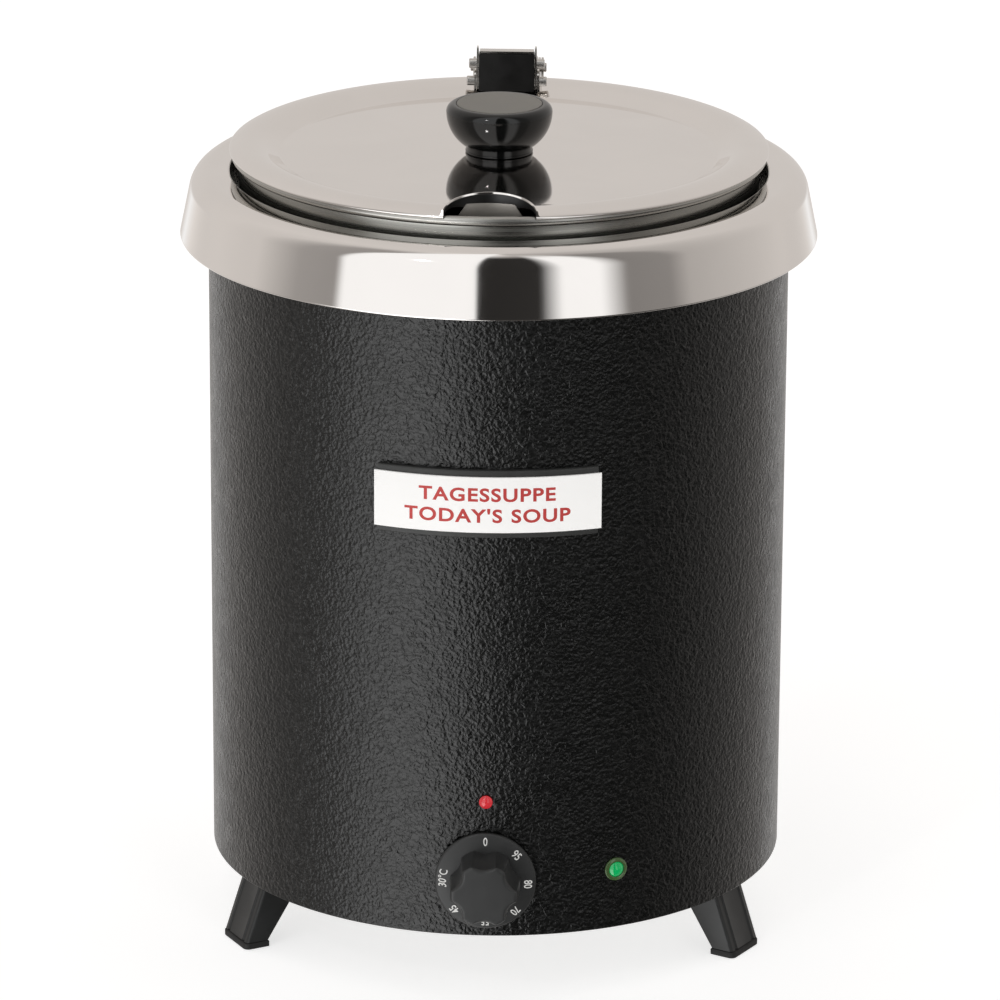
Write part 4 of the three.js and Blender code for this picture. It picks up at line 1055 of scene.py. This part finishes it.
def foot_pad(side, degrees):
    """A rubber pad with its outer corners and its edges rounded."""
    spin = Matrix.Rotation(math.radians(degrees), 4, "Z")
    outer_corners = ((PAD_OUTER, -PAD_HALF, 3), (PAD_OUTER, PAD_HALF, 3))
    plan = rounded([(PAD_INNER, -PAD_HALF), *outer_corners, (PAD_INNER, PAD_HALF)], 6)
    centre = (PAD_INNER + PAD_OUTER) / 2
    lower = [(0, PAD_EDGE), (0.3 * PAD_EDGE, 0.3 * PAD_EDGE), (PAD_EDGE, 0)]
    upper = [(PAD_HEIGHT - z, inset) for z, inset in reversed(lower)]
    sections = []
    for z, inset in lower + upper:
        ring = [(x + math.copysign(inset, centre - x), y - math.copysign(inset, y)) for x, y in plan]
        sections.append([spin @ Vector((x, y, z)) for x, y in ring])
    return loft(f"foot_{side}_pad", sections, 30)


for side, degrees in LEG_TURNS.items():
    wear(leg(side, degrees), "housing", LEG_PLASTIC, [f"leg_{side}"])
    wear(foot_pad(side, degrees), "housing", RUBBER, [f"foot_pad_{side}"])


# ---------------------------------------------------------------- cord gland
gland_low, gland_high = in_mm("cord_gland")
GLAND_Z = (gland_low.z + gland_high.z) / 2


def cord_gland():
    """The cord's gland at the rear: a thread through the casing, a collar and a tapering nose."""
    bore = 4.5
    outline = rounded(
        [
            (bore, -10),
            (7.8, -10),
            (7.8, 0.3),
            (10.5, 0.3, 0.4),
            (10.5, 7, 0.6),
            (9.6, 7.6),
            (9.6, 14, 1),
            (7.4, 21, 1),
            (6.6, 22.5, 0.6),
            (bore, 22.5, 0.5),
        ],
        4,
    )
    turn = Matrix.Translation((0, CASING_R, GLAND_Z)) @ Matrix.Rotation(-math.pi / 2, 4, "X")
    return turned("cord_gland_body", outline, MEDIUM, turn)


wear(cord_gland(), "housing", FITTING, ["cord_gland"])


# ---------------------------------------------------------------- finishes of the kept CAD pieces
KEPT = {
    ZINC: ["base_plate", "leg_screw_right", "leg_screw_rear", "leg_screw_left", "element_clamp", "clamp_stud",
           "clamp_nut", "sensor_clip", "thermostat_screw_left", "thermostat_screw_right", "pilot_lamp_nut",
           "earth_nut", "thermostat_shaft"],
    SATIN: ["hinge_bracket", "bracket_rivet_left", "bracket_rivet_right", "collar_clip_1", "collar_clip_2",
            "collar_clip_3"],
    BRIGHT: ["hinge_cover", "hinge_plate_left", "hinge_plate_right", "hinge_link_left", "hinge_link_right"],
    BLOCK: ["hinge_block"],
    FITTING: ["pilot_lamp_body", "heat_lamp_body", "gland_nut", "thermostat_body"],
    TERMINAL: ["terminal_block"],
    WOOL: ["insulation_sleeve"],
    ALUMINIUM: ["heat_spreader"],
    SHEATH: ["heating_element"],
    COPPER: ["sensor_bulb"],
}
BEVELS = {"hinge_block": 0.6, "hinge_cover": 0.25, "hinge_plate_left": 0.2, "hinge_plate_right": 0.2,
          "hinge_link_left": 0.2, "hinge_link_right": 0.2, "hinge_bracket": 0.2, "thermostat_body": 0.5,
          "terminal_block": 0.6}
for material, names in KEPT.items():
    for name in names:
        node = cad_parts[name]
        node.data.materials.clear()
        node.data.materials.append(material)
for name, width in BEVELS.items():
    bevel(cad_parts[name], width)


# ---------------------------------------------------------------- studio, in metres
CAMERA_AZIMUTH = 1.9
CAMERA_ELEVATION = 18.2
CAMERA_DISTANCE = 3.36
CAMERA_ROLL = 0.31
CAMERA_SHIFT = 0.0027
LOOK_AT = Vector((0, 0, 0.2241))
SENSOR = 36
LENS = 227.3
KEY_AZIMUTH = CAMERA_AZIMUTH - 30
KEY_ELEVATION = 38
KEY_DISTANCE = 3
KEY_SIZE = 0.16
KEY_POWER = 3.5
FLOOR_RADIUS = 40
FLOOR_DROP = 0.0003
FLOOR_GLOW = 0.68


def direction(azimuth, elevation):
    """A unit vector. Azimuth 0 is the object's front, and it grows towards +X."""
    a, e = math.radians(azimuth), math.radians(elevation)
    return Vector((math.sin(a) * math.cos(e), -math.cos(a) * math.cos(e), math.sin(e)))


def make_camera():
    data = bpy.data.cameras.new("camera")
    data.lens = LENS
    data.sensor_width = SENSOR
    data.shift_x = CAMERA_SHIFT
    data.clip_end = 100
    camera = bpy.data.objects.new("camera", data)
    scene.collection.objects.link(camera)
    back = direction(CAMERA_AZIMUTH, CAMERA_ELEVATION)
    facing = (-back).to_track_quat("-Z", "Y").to_matrix().to_4x4()
    roll = Matrix.Rotation(math.radians(CAMERA_ROLL), 4, "Z")
    camera.matrix_world = Matrix.Translation(LOOK_AT + back * CAMERA_DISTANCE) @ facing @ roll
    scene.camera = camera


# What the studio's walls, soft boxes and dark gaps give off below the horizon, at eye level and overhead,
# as (azimuth from the camera, brightness).
BELOW = [
    (-180, 0.66), (-166, 0.72), (-157, 1.0), (-146, 0.9), (-120, 0.6), (-100, 0.5), (-84, 0.26), (-70, 0.45),
    (-58, 2.2), (-18, 2.7), (-9, 0.06), (72, 0.03), (96, 0.3), (120, 0.42), (146, 0.8), (157, 1.0),
    (166, 0.72), (180, 0.66),
]
LEVEL = [
    (-180, 0.66), (-120, 0.7), (-96, 0.65), (-76, 0.36), (-60, 0.32), (-57, 1.08), (-8, 1.08), (-7, 0.024),
    (15, 0.03), (23, 1.08), (37, 1.08), (47, 0.24), (64, 0.27), (72, 0.46), (120, 0.66), (180, 0.66),
]
ABOVE = [
    (-180, 0.66), (-110, 0.68), (-75, 0.78), (-50, 1.08), (-12, 1.05), (6, 0.7), (20, 0.48), (90, 0.48),
    (130, 0.6), (180, 0.66),
]
WARM = (1.0, 0.95, 0.91)


def studio_world():
    """Soft studio light all round: a large soft box front left, a narrow one front right, pale walls."""
    world = bpy.data.worlds.new("studio")
    world.use_nodes = True
    scene.world = world
    tree = world.node_tree
    tree.nodes.clear()

    def node(kind, operation=None, **inputs):
        """A new node, its inputs set or linked by name, or by number as _0 and _1."""
        made = tree.nodes.new(kind)
        if operation:
            made.operation = operation
        for socket, value in inputs.items():
            by_number = socket[1:].isdigit()
            target = made.inputs[int(socket[1:]) if by_number else socket.replace("_", " ")]
            if isinstance(value, bpy.types.NodeSocket):
                tree.links.new(value, target)
            else:
                target.default_value = value
        return made

    towards = node("ShaderNodeSeparateXYZ", _0=node("ShaderNodeTexCoord").outputs["Generated"])
    back = node("ShaderNodeMath", "MULTIPLY", _0=towards.outputs["Y"], _1=-1.0).outputs[0]
    azimuth = node("ShaderNodeMath", "ARCTAN2", _0=towards.outputs["X"], _1=back).outputs[0]
    turn = math.radians(CAMERA_AZIMUTH)
    full_circle = node("ShaderNodeMapRange", Value=azimuth, From_Min=turn - math.pi, From_Max=turn + math.pi)
    elevation = node("ShaderNodeMath", "ARCSINE", _0=towards.outputs["Z"]).outputs[0]

    def wall(stops):
        made = node("ShaderNodeValToRGB", Fac=full_circle.outputs[0])
        ramp = made.color_ramp
        while len(ramp.elements) < len(stops):
            ramp.elements.new(0.5)
        for element, (degrees, brightness) in zip(ramp.elements, stops):
            element.position = (degrees + 180) / 360
            tint = WARM if brightness < 1 else (1, 1, 1)
            element.color = (*(brightness * t for t in tint), 1)
        return made.outputs["Color"]

    def by_height(low_degrees, high_degrees):
        made = node("ShaderNodeMapRange", Value=elevation, From_Min=math.radians(low_degrees),
                    From_Max=math.radians(high_degrees))
        made.interpolation_type = "SMOOTHSTEP"
        return made.outputs[0]

    def blend(factor, first, second):
        made = tree.nodes.new("ShaderNodeMix")
        made.data_type = "RGBA"
        tree.links.new(factor, made.inputs["Factor"])
        for socket, value in (("A", first), ("B", second)):
            target = next(i for i in made.inputs if i.name == socket and i.type == "RGBA")
            if isinstance(value, bpy.types.NodeSocket):
                tree.links.new(value, target)
            else:
                target.default_value = value
        return next(o for o in made.outputs if o.type == "RGBA")

    room = blend(by_height(-13, -5), wall(BELOW), wall(LEVEL))
    room = blend(by_height(60, 84), room, wall(ABOVE))
    seen = node("ShaderNodeLightPath").outputs["Is Camera Ray"]
    light = node("ShaderNodeBackground", Color=blend(seen, room, (1, 1, 1, 1)))
    tree.links.new(light.outputs[0], tree.nodes.new("ShaderNodeOutputWorld").inputs["Surface"])


def key_light():
    """A small lamp, high on the left, for the bright spots on the glossy knob."""
    data = bpy.data.lights.new("key", "AREA")
    data.shape = "DISK"
    data.size = KEY_SIZE
    data.energy = KEY_POWER
    key = bpy.data.objects.new("key", data)
    scene.collection.objects.link(key)
    towards = direction(KEY_AZIMUTH, KEY_ELEVATION)
    key.location = LOOK_AT + towards * KEY_DISTANCE
    key.rotation_mode = "QUATERNION"
    key.rotation_quaternion = towards.to_track_quat("Z", "Y")
    key.visible_camera = False


def floor():
    """A plain pale floor that glows a little, so that it stays white, and that mirrors don't show."""
    shape = bmesh.new()
    bmesh.ops.create_circle(shape, cap_ends=True, segments=64, radius=FLOOR_RADIUS)
    mesh = bpy.data.meshes.new("floor")
    shape.to_mesh(mesh)
    shape.free()
    ground = bpy.data.objects.new("floor", mesh)
    scene.collection.objects.link(ground)
    ground.location.z = -FLOOR_DROP
    s = Surface("pale_floor", roughness=0.9, Emission_Strength=FLOOR_GLOW)
    s.set("Base Color", s.colours(s.noise(3, 2), [(0.3, (0.6, 0.6, 0.6)), (0.7, (0.61, 0.61, 0.61))]))
    s.shader.inputs["Emission Color"].default_value = (1, 1, 1, 1)
    s.shader.inputs["Specular IOR Level"].default_value = 0
    mesh.materials.append(s.material)
    ground.visible_glossy = False


make_camera()
studio_world()
key_light()
floor()
scene.view_settings.view_transform = "Standard"
